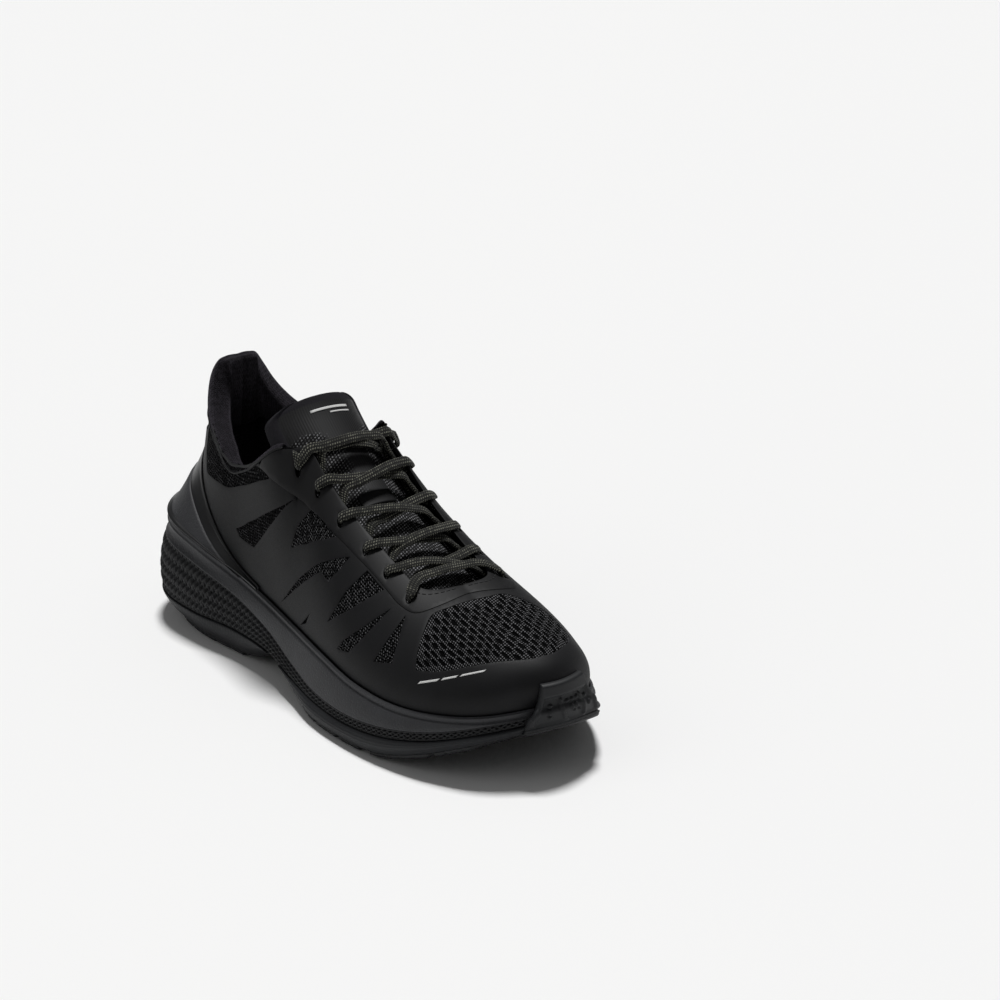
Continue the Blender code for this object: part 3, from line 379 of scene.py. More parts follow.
def tube(name, path, radius, mat, slot, sides):
    """Round tube along a path, with closed ends."""
    p = np.asarray(path, float)
    tan = np.gradient(p, axis=0)
    tan /= np.linalg.norm(tan, axis=1, keepdims=True)
    side = np.cross(tan, [0, 0, 1.0])
    side /= np.maximum(np.linalg.norm(side, axis=1, keepdims=True), 1e-9)
    up = np.cross(side, tan)
    a = 2 * math.pi * np.arange(sides) / sides
    rows = p[:, None] + radius * (side[:, None] * np.cos(a)[None, :, None] + up[:, None] * np.sin(a)[None, :,
                                                                                                     None])
    return sheet(name, rows, mat, slot, close_cols=True, caps=True)


# ---------------------------------------------------------------- pattern pieces on the upper
def side_u(s, medial=False):
    """u of station s on one side."""
    return 1 - s / ROUND if medial else s / ROUND


def lat(points):
    """Outline of (station, v) points on the lateral side."""
    return [(side_u(s), v) for s, v in points]


def med(points):
    """Outline of (station, v) points on the medial side."""
    return [(side_u(s, True), v) for s, v in points]


def flat_map(u, v):
    """Planar layout of the upper, for filling outlines."""
    p, n = plan(u)
    c = crown(u)
    reach = 30 + 30 * np.clip((10 - np.minimum(u, 1 - u) * ROUND) / 6, 0, 1)
    o = p + n * np.asarray(reach)[..., None]
    v = np.asarray(v, float)[..., None]
    return o * (1 - v) + c[..., :2] * v


def densify(path, du, dv):
    """Closed (u, v) path with steps no longer than du and dv, the short way round the shoe."""
    out = []
    for k in range(len(path)):
        a, b = np.array(path[k]), np.array(path[(k + 1) % len(path)])
        if (a[0] - 0.5) * (b[0] - 0.5) < 0:
            if a[1] > 0.999:
                a[0] = 1 - a[0]
            elif b[1] > 0.999:
                b[0] = 1 - b[0]
        d = b - a
        if abs(d[0]) > 0.5:
            d[0] -= math.copysign(1, d[0])
        n = max(1, int(math.ceil(max(abs(d[0]) / du, abs(d[1]) / dv) - 1e-6)))
        for t in np.arange(n) / n:
            q = a + d * t
            out.append((float(q[0] % 1.0), float(q[1])))
    return out


def inside(poly, pts):
    """Which points lie inside a closed outline."""
    x, y = pts[:, 0], pts[:, 1]
    odd = np.zeros(len(pts), bool)
    j = len(poly) - 1
    for i in range(len(poly)):
        (xi, yi), (xj, yj) = poly[i], poly[j]
        if yi != yj:
            odd ^= ((yi > y) != (yj > y)) & (x < (xj - xi) * (y - yi) / (yj - yi) + xi)
        j = i
    return odd


def near(poly, pts, dist):
    """Which points lie within dist of an outline."""
    a = np.asarray(poly)
    d = np.roll(a, -1, 0) - a
    l2 = np.maximum((d ** 2).sum(1), 1e-12)
    out = np.zeros(len(pts), bool)
    for k in range(0, len(pts), 2000):
        q = pts[k:k + 2000]
        t = np.clip(((q[:, None] - a) * d).sum(2) / l2, 0, 1)
        out[k:k + 2000] = np.linalg.norm(q[:, None] - (a + t[..., None] * d), axis=2).min(1) < dist
    return out


def patch(name, outline, holes, off, mat, slot, nu=240, nv=48, clear=0.9):
    """Filled pattern piece on the upper surface, off mm above it."""
    loops = [densify(outline, 1 / nu, 1 / nv)] + [densify(h, 1 / nu, 1 / nv) for h in holes]
    uv, edges, flats = [], [], []
    for loop in loops:
        k = len(uv)
        uv += loop
        edges += [(k + m, k + (m + 1) % len(loop)) for m in range(len(loop))]
        a = np.array(loop)
        flats.append(flat_map(a[:, 0], a[:, 1]))
    gu, gv = np.meshgrid(np.arange(nu) / nu, np.arange(0, nv + 1) / nv, indexing="ij")
    gu, gv = gu.ravel(), gv.ravel()
    keep = ~((gv > 0.999) & (gu > 0.5))
    gu, gv = gu[keep], gv[keep]
    g = flat_map(gu, gv)
    keep = inside(flats[0], g)
    for h in flats[1:]:
        keep &= ~inside(h, g)
    gu, gv, g = gu[keep], gv[keep], g[keep]
    keep = np.ones(len(g), bool)
    for h in flats:
        keep &= ~near(h, g, clear)
    uv += list(zip(gu[keep].tolist(), gv[keep].tolist()))
    a = np.array(uv)
    q = flat_map(a[:, 0], a[:, 1])
    res = delaunay_2d_cdt([Vector(p) for p in q.tolist()], edges, [], 0, 1e-5)
    flat, faces = np.array([list(c) for c in res[0]]), res[2]
    source = [origins[0] for origins in res[3]]
    pos = shell(*a[source].T, np.full(len(source), float(off)))
    mid = flat[np.array([f[:3] for f in faces])].mean(1)
    ok = inside(flats[0], mid)
    for h in flats[1:]:
        ok &= ~inside(h, mid)
    faces = [f for f, k in zip(faces, ok) if k]
    ob = piece(name, pos, faces, mat, slot, uv=flat)
    with editing(ob) as bm:
        bmesh.ops.delete(bm, geom=[v for v in bm.verts if not v.link_faces], context="VERTS")
    return ob


def topline_at(s):
    """Height fraction of the topline at station s."""
    return smooth(TOPLINE_V, s)


def eyelet(s, v, medial, n, grow):
    """Outline of an eyelet with n corners."""
    a = 2 * math.pi * (np.arange(n) + 0.5) / n
    u = side_u(s, medial)
    return list(zip(u + 0.085 * grow / ROUND * np.cos(a), v + 0.036 * grow * np.sin(a)))


def local_frame(s, v, medial):
    """mm per unit of u and of v on the surface near a point."""
    u = side_u(s, medial)
    e = 1e-3
    du = np.linalg.norm(surface_point(u + e, v, 0) - surface_point(u - e, v, 0)) / (2 * e)
    dv = np.linalg.norm(surface_point(u, v + e, 0) - surface_point(u, v - e, 0)) / (2 * e)
    return du, dv


def open_mesh(name, poly, to_uv, step_a, step_b, hole, slant, mat, top, grow=0.6, plain=0.0):
    """Knitted mesh with open holes: cells on a slanted grid, each with one long hole."""
    poly = np.asarray(poly, float)
    m = np.array([step_a, step_b]).T
    reach = np.linalg.inv(m) @ np.array([[x, y] for x in (poly[:, 0].min(), poly[:, 0].max())
                                         for y in (poly[:, 1].min(), poly[:, 1].max())]).T
    lo, hi = np.floor(reach.min(1)).astype(int) - 1, np.ceil(reach.max(1)).astype(int) + 2
    ids = np.array([(i, j) for i in range(lo[0], hi[0]) for j in range(lo[1], hi[1])])
    mid = ids @ m.T
    keep = inside(poly.tolist(), mid) | near(poly, mid, grow)
    ids, mid = ids[keep], mid[keep]
    shut = near(poly, mid, plain) if plain else np.zeros(len(mid), bool)
    index, pts, faces, deep, rim = {}, [], [], [], []

    def vert(key):
        if key not in index:
            index[key] = len(pts)
            pts.append(m @ np.array(key) / 2)
            deep.append(0.0)
            rim.append(0.0)
        return index[key]

    edge = [(1, 1), (0, 1), (-1, 1), (-1, 0), (-1, -1), (0, -1), (1, -1), (1, 0)]
    ring = np.array([m @ np.array(e) / 2 for e in edge])
    ca, sa = math.cos(slant), math.sin(slant)
    turned = ring @ np.array([[ca, -sa], [sa, ca]])
    ang = np.unwrap(np.arctan2(turned[:, 1] / hole[1], turned[:, 0] / hole[0]))
    turn = math.copysign(math.pi / 8, ang[-1] - ang[0])
    ang = (ang - 2 * turn * np.arange(8)).mean() + turn * np.arange(16)
    sink = min(0.2, 0.1 * hole[1])
    for (i, j), c, closed in zip(ids.tolist(), mid, shut):
        outer = [vert((2 * i + e[0], 2 * j + e[1])) for e in edge]
        size = 0.12 if closed else 1.0
        inner = []
        for t in ang:
            hx, hy = size * hole[0] * math.cos(t), size * hole[1] * math.sin(t)
            inner.append(len(pts))
            pts.append(c + np.array([hx * ca - hy * sa, hx * sa + hy * ca]))
            deep.append(sink)
            rim.append(0.0 if closed else 1.0)
        for k in range(8):
            n = (k + 1) % 8
            faces.append([outer[k], outer[n], inner[2 * n], inner[2 * k + 1], inner[2 * k]])
    pts = np.array(pts)
    u, v = to_uv(pts)
    ob = piece(name, shell(u, v, top - np.array(deep)), faces, mat, "mesh_textile", uv=pts)
    tag(ob, "hole", rim)
    n = ob.data.polygons[0].normal
    p0 = shell(u[:1], v[:1], 0.0)[0]
    if np.dot(np.array(n), shell(u[:1], v[:1], 1.0)[0] - p0) < 0:
        ob.data.flip_normals()
    return thicken(ob, NET_T, -1.0)


# ---------------------------------------------------------------- materials
class Paint:
    """Small builder for a node material. Texture coordinates are millimetres."""

    def __init__(self, name, rough=0.6, specular=0.35, sheen=0.0):
        self.mat = bpy.data.materials.new(name)
        self.mat.use_nodes = True
        self.tree = self.mat.node_tree
        self.bsdf = self.tree.nodes["Principled BSDF"]
        self.feed("Roughness", rough)
        self.feed("Specular IOR Level", specular)
        self.feed("Sheen Weight", sheen)
        self.feed("Sheen Roughness", 0.5)
        coord = self.tree.nodes.new("ShaderNodeTexCoord")
        self.uv = coord.outputs["UV"]
        self.obj = self.node("VectorMath", {0: coord.outputs["Object"], "Scale": 1000.0}, operation="SCALE")
        self.flat = None

    def plug(self, sock, value):
        """Link a socket, or set its value."""
        if isinstance(value, bpy.types.NodeSocket):
            self.tree.links.new(value, sock)
        elif isinstance(value, tuple) and len(value) == 3 and sock.type == "RGBA":
            sock.default_value = (*value, 1)
        else:
            sock.default_value = value

    def feed(self, name, value):
        """Plug a value into an input of the surface shader."""
        self.plug(self.bsdf.inputs[name], value)

    def node(self, kind, ins, out=0, **props):
        """Add a node and return one of its outputs."""
        n = self.tree.nodes.new("ShaderNode" + kind)
        for k, v in props.items():
            setattr(n, k, v)
        for k, v in ins.items():
            self.plug(n.inputs[k], v)
        return n.outputs[out]

    def math(self, op, a, b=0.0):
        return self.node("Math", {0: a, 1: b}, operation=op)

    def ramp(self, x, a, b):
        """0 below a, 1 above b, smooth between."""
        return self.node("MapRange", {"Value": x, "From Min": a, "From Max": b},
                         interpolation_type="SMOOTHSTEP")

    def mix(self, fac, a, b):
        return self.node("MixRGB", {"Fac": fac, "Color1": a, "Color2": b})

    def lerp(self, fac, a, b):
        return self.node("Mix", {0: fac, 2: a, 3: b}, data_type="FLOAT")

    def noise(self, size, detail=2.0, distortion=0.0):
        """Noise whose blobs are about size mm."""
        return self.node("TexNoise", {"Vector": self.obj, "Scale": 1.0 / size, "Detail": detail,
                                      "Distortion": distortion})

    def cells(self, size, out="Distance"):
        """Random cells of about size mm."""
        return self.node("TexVoronoi", {"Vector": self.obj, "Scale": 1.0 / size}, out=out)

    def pick(self, size):
        """Random number for each cell of about size mm."""
        return self.node("SeparateColor", {0: self.cells(size, "Color")})

    def xy(self):
        """Texture coordinates x and y, mm."""
        if self.flat is None:
            n = self.tree.nodes.new("ShaderNodeSeparateXYZ")
            self.tree.links.new(self.uv, n.inputs[0])
            self.flat = (n.outputs[0], n.outputs[1])
        return self.flat

    def wave(self, x, period):
        """0..1 ridges along x, period in mm."""
        t = self.math("MULTIPLY", x, 2 * math.pi / period)
        return self.math("ADD", self.math("MULTIPLY", self.math("SINE", t), 0.5), 0.5)

    def dots(self, lean, px, py):
        """0..1 dots in rows py mm apart, px along a row, each row shifted by lean."""
        x, y = self.xy()
        return self.math("MULTIPLY", self.wave(self.math("ADD", x, self.math("MULTIPLY", y, lean)), px),
                         self.wave(y, py))

    def knit(self, px, py):
        """V shaped stitches: columns px wide, rows py high."""
        x, y = self.xy()
        across = self.math("FRACT", self.math("DIVIDE", x, px))
        col = self.math("ABSOLUTE", self.math("SUBTRACT", across, 0.5))
        row = self.math("FRACT", self.math("ADD", self.math("DIVIDE", y, py),
                                           self.math("MULTIPLY", col, 1.3)))
        yarn = self.math("SINE", self.math("MULTIPLY", row, math.pi))
        gap = self.math("SINE", self.math("MULTIPLY", col, 2 * math.pi))
        return self.math("MULTIPLY", yarn, self.math("POWER", gap, 0.4))

    def bump(self, height, depth, strength=1.0, under=None):
        """Relief of depth mm, laid over another one if given."""
        ins = {"Height": height, "Distance": depth * MM, "Strength": strength}
        if under is not None:
            ins["Normal"] = under
        out = self.node("Bump", ins)
        self.feed("Normal", out)
        return out


def film_material():
    m = Paint("film_satin", specular=0.2)
    fine = m.noise(0.35, 2.0)
    broad = m.noise(22.0, 3.0)
    m.feed("Base Color", m.mix(m.ramp(broad, 0.35, 0.65), (0.0052, 0.0053, 0.006), (0.0072, 0.0073, 0.0082)))
    m.feed("Roughness", m.lerp(m.ramp(fine, 0.3, 0.7), 0.54, 0.66))
    m.bump(fine, 0.05, 0.5)
    return m.mat


def clear_film_material():
    """Eyestay film: a touch smoother and lighter than the quarter film."""
    m = Paint("film_smooth", specular=0.2)
    fine = m.noise(0.3, 2.0)
    m.feed("Base Color", m.mix(fine, (0.005, 0.005, 0.0056), (0.0068, 0.0069, 0.0075)))
    m.feed("Roughness", m.lerp(fine, 0.5, 0.62))
    m.bump(fine, 0.04, 0.5)
    return m.mat


def base_textile_material():
    m = Paint("textile_base", 0.9, 0.05)
    k = m.knit(1.5, 1.1)
    m.feed("Base Color", m.mix(k, (0.0005, 0.0005, 0.0006), (0.0022, 0.0022, 0.0025)))
    m.bump(k, 0.25, 0.8)
    return m.mat


def open_mesh_material(name, light, amount, pitch):
    """Yarns of the open mesh: rows of bright stitches on near-black filaments."""
    m = Paint(name, 0.9, 0.05)
    dots = m.dots(0.45, pitch, pitch * 0.95)
    lit = m.math("MULTIPLY", m.ramp(dots, 0.3, 0.5),
                 m.lerp(m.ramp(m.pick(1.6), 0.75 - amount, 1.05 - amount), 0.12, 1.0))
    rim = m.node("Attribute", {}, out=2, attribute_name="hole")
    lit = m.math("MULTIPLY", lit, m.math("SUBTRACT", 1.0, m.ramp(rim, 0.7, 0.95)))
    yarn = m.noise(0.42, 2.0)
    c = m.mix(yarn, (0.0004, 0.0004, 0.0005), (0.003, 0.003, 0.0034))
    m.feed("Base Color", m.mix(lit, c, (light, light, light * 1.04)))
    m.bump(dots, 0.25, 0.9, m.bump(yarn, 0.12, 0.6))
    return m.mat


def collar_material():
    m = Paint("collar_knit", 0.92, 0.1, 0.22)
    k = m.knit(1.5, 1.1)
    tone = m.ramp(m.noise(1.6, 3.0), 0.42, 0.6)
    c = m.mix(k, (0.0006, 0.0005, 0.0008), (0.0075, 0.0066, 0.0082))
    m.feed("Base Color", m.mix(m.math("MULTIPLY", tone, 0.6), c, (0.021, 0.0186, 0.0232)))
    m.feed("Sheen Tint", (0.5, 0.46, 0.55))
    m.bump(k, 0.35, 0.9, m.bump(m.noise(3.2, 2.0), 0.5, 0.4))
    return m.mat


def tongue_material():
    """Ribbed film in the middle, open mesh where "mesh" is 1, soft knit edge where "edge" is 1."""
    m = Paint("tongue_mixed", specular=0.3)
    mesh = m.node("Attribute", {}, out=2, attribute_name="mesh")
    edge = m.node("Attribute", {}, out=2, attribute_name="edge")
    rib = m.wave(m.xy()[1], 1.25)
    stripe = m.mix(rib, (0.0085, 0.0085, 0.009), (0.0135, 0.0135, 0.0142))
    speck = m.math("MULTIPLY", m.ramp(m.dots(0.5, 1.6, 1.5), 0.25, 0.55),
                   m.lerp(m.ramp(m.pick(1.5), 0.25, 0.6), 0.2, 1.0))
    holes = m.ramp(m.cells(1.9), 0.12, 0.3)
    open_knit = m.mix(m.math("MULTIPLY", speck, holes), (0.0006, 0.0006, 0.0007), (0.24, 0.24, 0.25))
    soft = m.mix(m.noise(0.6, 2.0), (0.005, 0.0046, 0.0065), (0.0135, 0.0122, 0.017))
    c = m.mix(edge, m.mix(mesh, stripe, open_knit), soft)
    m.feed("Base Color", c)
    m.feed("Roughness", m.lerp(m.math("MAXIMUM", mesh, edge), 0.5, 0.88))
    rough = m.lerp(mesh, m.math("MULTIPLY", rib, 0.12),
                   m.math("MULTIPLY", m.math("MULTIPLY", holes, speck), 0.9))
    m.bump(m.lerp(edge, rough, m.math("MULTIPLY", m.noise(0.5, 2.0), 0.3)), 0.9, 0.6)
    return m.mat


def lace_material():
    """Flat braid: near black with rows of bright picks, some brighter than others."""
    m = Paint("lace_braid", 0.8, 0.2, 0.12)
    braid = m.dots(0.5, 1.25, 1.45)
    bright = m.ramp(m.pick(2.2), 0.25, 0.75)
    flecks = m.math("MULTIPLY", m.ramp(braid, 0.3, 0.55), m.lerp(bright, 0.25, 1.0))
    c = m.mix(flecks, (0.0025, 0.0025, 0.002), (0.165, 0.165, 0.13))
    m.feed("Base Color", c)
    m.bump(braid, 0.4, 0.9)
    return m.mat


def foam_material(name, dark, light, dots=0.0, ribs=0.0, along=True):
    """Moulded foam with fine grain; dots mm apart, or ribs mm apart along or across the shoe."""
    m = Paint(name, specular=0.3)
    fine = m.noise(0.45, 2.0)
    broad = m.noise(30.0, 2.0)
    m.feed("Base Color", m.mix(m.ramp(broad, 0.3, 0.7), dark, light))
    m.feed("Roughness", m.lerp(fine, 0.52, 0.66))
    under = m.bump(fine, 0.06, 0.5)
    if dots:
        under = m.bump(m.ramp(m.cells(dots), 0.1, 0.55), 0.16, 0.6, under)
    if ribs:
        x, y = m.xy()
        m.bump(m.wave(y if along else x, ribs), 0.14, 0.6, under)
    return m.mat


def rubber_material():
    m = Paint("rubber_black", specular=0.35)
    fine = m.noise(0.5, 3.0)
    m.feed("Base Color", m.mix(m.noise(14.0, 2.0), (0.0085, 0.0093, 0.0106), (0.0125, 0.0134, 0.015)))
    m.feed("Roughness", m.lerp(fine, 0.5, 0.68))
    m.bump(fine, 0.08, 0.6)
    return m.mat


def clip_material():
    m = Paint("clip_moulded", specular=0.35)
    fine = m.noise(0.4, 2.0)
    m.feed("Base Color", m.mix(fine, (0.0085, 0.0086, 0.0093), (0.0115, 0.0117, 0.0125)))
    m.feed("Roughness", m.lerp(fine, 0.3, 0.38))
    m.bump(fine, 0.02, 0.4)
    return m.mat


def board_material():
    m = Paint("board_fibre", 0.9, 0.2)
    fibre = m.noise(1.2, 3.0, distortion=1.5)
    m.feed("Base Color", m.mix(fibre, (0.02, 0.02, 0.021), (0.05, 0.049, 0.047)))
    m.bump(fibre, 0.1, 0.5)
    return m.mat


def sockliner_material():
    m = Paint("sockliner_cloth", 0.93, 0.1, 0.3)
    k = m.knit(1.1, 0.8)
    m.feed("Base Color", m.mix(k, (0.006, 0.0055, 0.004), (0.02, 0.0185, 0.013)))
    m.bump(k, 0.15, 0.7)
    return m.mat


def print_material():
    m = Paint("print_reflective", 0.45, 0.5)
    grain = m.noise(0.3, 2.0)
    m.feed("Base Color", m.mix(grain, (0.62, 0.62, 0.61), (0.8, 0.8, 0.79)))
    m.bump(grain, 0.03, 0.5)
    return m.mat


def stitch_material():
    m = Paint("stitch_thread", 0.7, 0.3)
    twist = m.noise(0.4, 2.0)
    m.feed("Base Color", m.mix(twist, (0.01, 0.01, 0.011), (0.03, 0.03, 0.031)))
    m.bump(twist, 0.1, 0.6)
    return m.mat


def floor_material():
    m = Paint("studio_floor", 0.9, 0.05)
    m.feed("Base Color", m.mix(m.noise(900.0, 2.0), (0.86, 0.86, 0.86), (0.88, 0.88, 0.875)))
    return m.mat


FILM = film_material()
STAY = clear_film_material()
TEXTILE = base_textile_material()
NET = open_mesh_material("open_mesh_toe", 0.15, 0.85, 1.5)
NET_DARK = open_mesh_material("open_mesh_quarter", 0.11, 0.6, 1.6)
NET_ANKLE = open_mesh_material("open_mesh_ankle", 0.06, 0.4, 1.6)
COLLAR = collar_material()
TONGUE = tongue_material()
LACE = lace_material()
FOAM_TOP = foam_material("foam_upper", (0.029, 0.0295, 0.0323), (0.038, 0.0388, 0.0422), dots=1.25)
FOAM_BAND = foam_material("foam_band", (0.0125, 0.013, 0.0142), (0.0165, 0.017, 0.0185))
FOAM_HEEL = foam_material("foam_heel_pad", (0.0088, 0.0095, 0.011), (0.0115, 0.0123, 0.0142), ribs=1.3)
FOAM_FORE = foam_material("foam_fore_pad", (0.0115, 0.0123, 0.014), (0.015, 0.016, 0.018), ribs=1.5,
                          along=False)
RUBBER = rubber_material()
CLIP = clip_material()
BOARD = board_material()
SOCK = sockliner_material()
PRINT = print_material()
STITCH = stitch_material()

# ---------------------------------------------------------------- upper: textile, open mesh, film
SKIN, SKIN_T = -0.2, 1.0           # outer face and thickness of the textile
NET_TOP, NET_T = 0.22, 0.42        # outer face and thickness of the open mesh
FILM_IN, FILM_T = -0.12, 0.55      # inner face and thickness of the film
STAY_IN, STAY_T = 0.13, 0.6        # the same for the eyestay
EDGE_R = 0.16                      # rounding of the cut film edges

top_pts = [(float(s), float(topline_at(s)) - 0.004) for s in np.linspace(0, 5.55, 60)]
throat = curve(THROAT, 6)
opening = lat(top_pts + throat) + med((top_pts + throat)[::-1][1:-1])
bottom = [(k / 240, -0.11) for k in range(240)]
holes = [eyelet(s, v, m, 12, 1.05) for m in (False, True) for s, v in EYELETS]
textile = patch("upper_textile", bottom, [opening] + holes, SKIN - SKIN_T, TEXTILE, "mesh_textile")
thicken(textile, SKIN_T)
flex(textile, "quarter_textile", "toe_box_textile", "vamp_flex_panel")

# Windows through the film: (station, height fraction)
WINDOWS = [
    [(6.22, 0.469), (6.6, 0.5), (6.96, 0.528), (6.61, 0.432), (6.17, 0.34), (5.69, 0.279), (5.85, 0.365),
     (6.03, 0.412)],
    [(7.39, 0.536), (7.21, 0.434), (6.97, 0.334), (6.73, 0.333), (6.42, 0.259), (6.06, 0.186), (5.66, 0.112),
     (5.3, 0.045), (5.64, 0.123), (6.02, 0.206), (6.36, 0.278), (6.67, 0.356), (7.06, 0.452)],
    [(7.83, 0.572), (8.29, 0.574), (8.11, 0.501), (7.91, 0.426), (7.69, 0.349), (7.42, 0.267), (7.1, 0.18),
     (7.32, 0.289), (7.48, 0.391), (7.67, 0.481)],
    [(8.56, 0.524), (8.42, 0.434), (8.26, 0.346), (8.06, 0.251), (7.81, 0.149), (7.45, 0.106), (7.62, 0.178),
     (7.91, 0.273), (8.16, 0.359), (8.37, 0.442)],
    [(8.89, 0.55), (8.92, 0.408), (8.9, 0.261), (8.47, 0.206), (8.61, 0.304), (8.71, 0.385), (8.81, 0.467)],
    [(3.78, 0.206), (4.23, 0.279), (4.66, 0.326), (5.07, 0.369), (5.43, 0.406), (5.73, 0.444), (5.43, 0.395),
     (5.2, 0.35), (4.93, 0.3), (4.67, 0.247), (4.4, 0.19), (3.9, 0.183)],
    [(6.44, 0.12), (6.26, 0.075), (6.05, 0.025), (6.28, 0.06)],
]
ANKLE = [(2.45, 0.29), (2.95, 0.315), (3.46, 0.346), (3.95, 0.406), (4.53, 0.446), (5.04, 0.475), (4.85, 0.5),
         (4.6, 0.512), (4.2, 0.492), (3.95, 0.482), (3.6, 0.458), (3.2, 0.462), (2.8, 0.486), (2.4, 0.505),
         (2.05, 0.53), (2.05, 0.45), (2.2, 0.36)]
TOE_LAT = [(9.45, 0.289), (9.39, 0.412), (9.38, 0.548), (9.4, 0.66), (9.64, 0.775), (9.86, 0.888),
           (10.06, 1.0)]
TOE_MED = [(9.9, 0.9), (9.64, 0.75), (9.66, 0.53), (9.86, 0.463), (10.57, 0.446), (11.36, 0.53)]
TOE_FRONT = [(12.0, 0.6), (11.5, 0.553), (11.09, 0.503), (10.6, 0.43), (10.2, 0.37), (9.8, 0.315)]

toe_window = lat(curve(TOE_LAT, 6)) + med(curve(TOE_MED, 6)) + lat(curve(TOE_FRONT, 6)[:-1])
film_top = curve([(0, 0.43), (1, 0.43), (1.6, 0.44), (1.95, 0.46)], 4)
seam = curve(SEAM[1:], 5)
rise = [(1.98, 0.53), (2.4, 0.515), (2.8, 0.494), (3.2, 0.47), (3.6, 0.466), (3.95, 0.488), (4.2, 0.5),
        (4.6, 0.522), (4.9, 0.505)]
under_stay = [(s, min(v + 0.012, 1.0)) for s, v in seam]
film_edge = film_top + rise + under_stay
film_hole = lat(film_edge) + med(film_edge[::-1][1:-1])
film_bottom = [(k / 240, -0.05) for k in range(240)]
cuts = []
for fold in (lat, med):
    cuts += [fold(w) for w in WINDOWS]
    ankle_cut = ANKLE[:6] + [(a, b - 0.004) for a, b in ANKLE[6:15]] + [(a + 0.04, b) for a, b in ANKLE[15:]]
    cuts.append(fold(chamfered(ankle_cut).tolist()))
film = patch("upper_film", film_bottom, [film_hole, toe_window] + cuts, FILM_IN, FILM, "bonded_film")
thicken(film, FILM_T, bevel=EDGE_R)
flex(film, "quarter_film_lateral", "quarter_film_medial", "toe_film")

# Eyestay
tip = (4.72, float(topline_at(4.72)) - 0.03)
crest = [(float(s), float(topline_at(s)) - 0.012) for s in np.linspace(4.8, 5.55, 9)]
stay_edge = [tip] + [p for p in seam if p[0] > 4.9]
inner = crest + [(s, v + 0.004) for s, v in throat]
stay_out = lat(stay_edge) + med(stay_edge[::-1][1:])
stay_in = med(inner) + lat(inner[::-1][1:])
stay_holes = [eyelet(s, v, m, 16, 0.92) for m in (False, True) for s, v in EYELETS]
stay = patch("eyestay_film", stay_out + stay_in, stay_holes, STAY_IN, STAY, "bonded_film", clear=0.8)
thicken(stay, STAY_T, bevel=EDGE_R)
flex(stay, "eyestay")


def window_sheet(name, poly, medial, step_a, step_b, hole, slant, mat, grow=1.0):
    """Open mesh that fills an outline of (station, v) points."""
    poly = np.array(poly, float)
    mid = (poly.min(0) + poly.max(0)) / 2
    lu, lv = local_frame(float(mid[0]), float(mid[1]), medial)
    u0 = side_u(mid[0], medial)

    def to_uv(ab):
        return u0 + ab[:, 0] / lu, mid[1] + ab[:, 1] / lv

    uv = np.array([(side_u(s, medial), v) for s, v in poly])
    ab = np.stack([(uv[:, 0] - u0) * lu, (uv[:, 1] - mid[1]) * lv], 1)
    return open_mesh(name, ab, to_uv, step_a, step_b, hole, slant, mat, NET_TOP, grow)


for m, side in ((False, "lateral"), (True, "medial")):
    for k, w in enumerate(WINDOWS[:6]):
        flex(window_sheet(f"window_mesh_{side}_{k + 1}", w, m, (2.3, 0.4), (0.5, 1.9), (0.72, 0.34), 0.6,
                          NET_DARK if k < 5 else NET_ANKLE))
    rear(window_sheet(f"ankle_mesh_{side}", ANKLE, m, (2.5, 0.2), (1.1, 1.9), (0.7, 0.32), 0.4, NET_ANKLE,
                      grow=0.6))


def unmap(xy, start):
    """(u, v) whose planar layout is xy, by Newton steps."""
    gu, gv = np.meshgrid(np.linspace(start[0], start[1], 60), np.linspace(0.1, 0.995, 40), indexing="ij")
    gu, gv = gu.ravel(), gv.ravel()
    g = flat_map(gu, gv)
    k = np.argmin(((xy[:, None] - g[None]) ** 2).sum(2), 1)
    u, v = gu[k].copy(), gv[k].copy()
    e = 1e-4
    for _ in range(8):
        f = flat_map(u, v) - xy
        a = (flat_map(u + e, v) - flat_map(u - e, v)) / (2 * e)
        b = (flat_map(u, v + e) - flat_map(u, v - e)) / (2 * e)
        det = a[:, 0] * b[:, 1] - a[:, 1] * b[:, 0]
        det = np.where(np.abs(det) < 1e-3, 1e-3, det)
        du = (f[:, 0] * b[:, 1] - f[:, 1] * b[:, 0]) / det
        dv = (a[:, 0] * f[:, 1] - a[:, 1] * f[:, 0]) / det
        u = u - np.clip(du, -0.01, 0.01)
        v = np.clip(v - np.clip(dv, -0.05, 0.05), 0.05, 0.9999)
    return u, v


toe_poly = np.array([flat_map(np.array(u), np.array(v)) for u, v in toe_window])


def toe_uv(xy):
    """(u, v) of layout points in the toe window, one side at a time."""
    low = xy[:, 1] <= 0
    u, v = np.empty(len(xy)), np.empty(len(xy))
    for mask, span in ((low, (8.5 / ROUND, 0.5)), (~low, (0.5, 1 - 8.5 / ROUND))):
        if mask.any():
            u[mask], v[mask] = unmap(xy[mask], span)
    return u, v


flex(open_mesh("toe_mesh", toe_poly, toe_uv, (7.4, 0.0), (3.7, 3.4), (2.75, 0.98), -0.05, NET, NET_TOP,
               grow=3.0, plain=2.0))


# ---------------------------------------------------------------- padded collar
def closed_section(points, n):
    """Closed smooth section through points, n samples; works on (rows, k, 3) too."""
    p = np.asarray(points, float)
    k = p.shape[1]
    t = np.arange(n) / n * k
    i = np.floor(t).astype(int)
    return catmull(*(p[:, (i + m) % k] for m in (-1, 0, 1, 2)), (t - i)[None, :, None])


COLLAR_END = 5.35
LINER = 1.6                # depth of the lining under the upper surface, mm
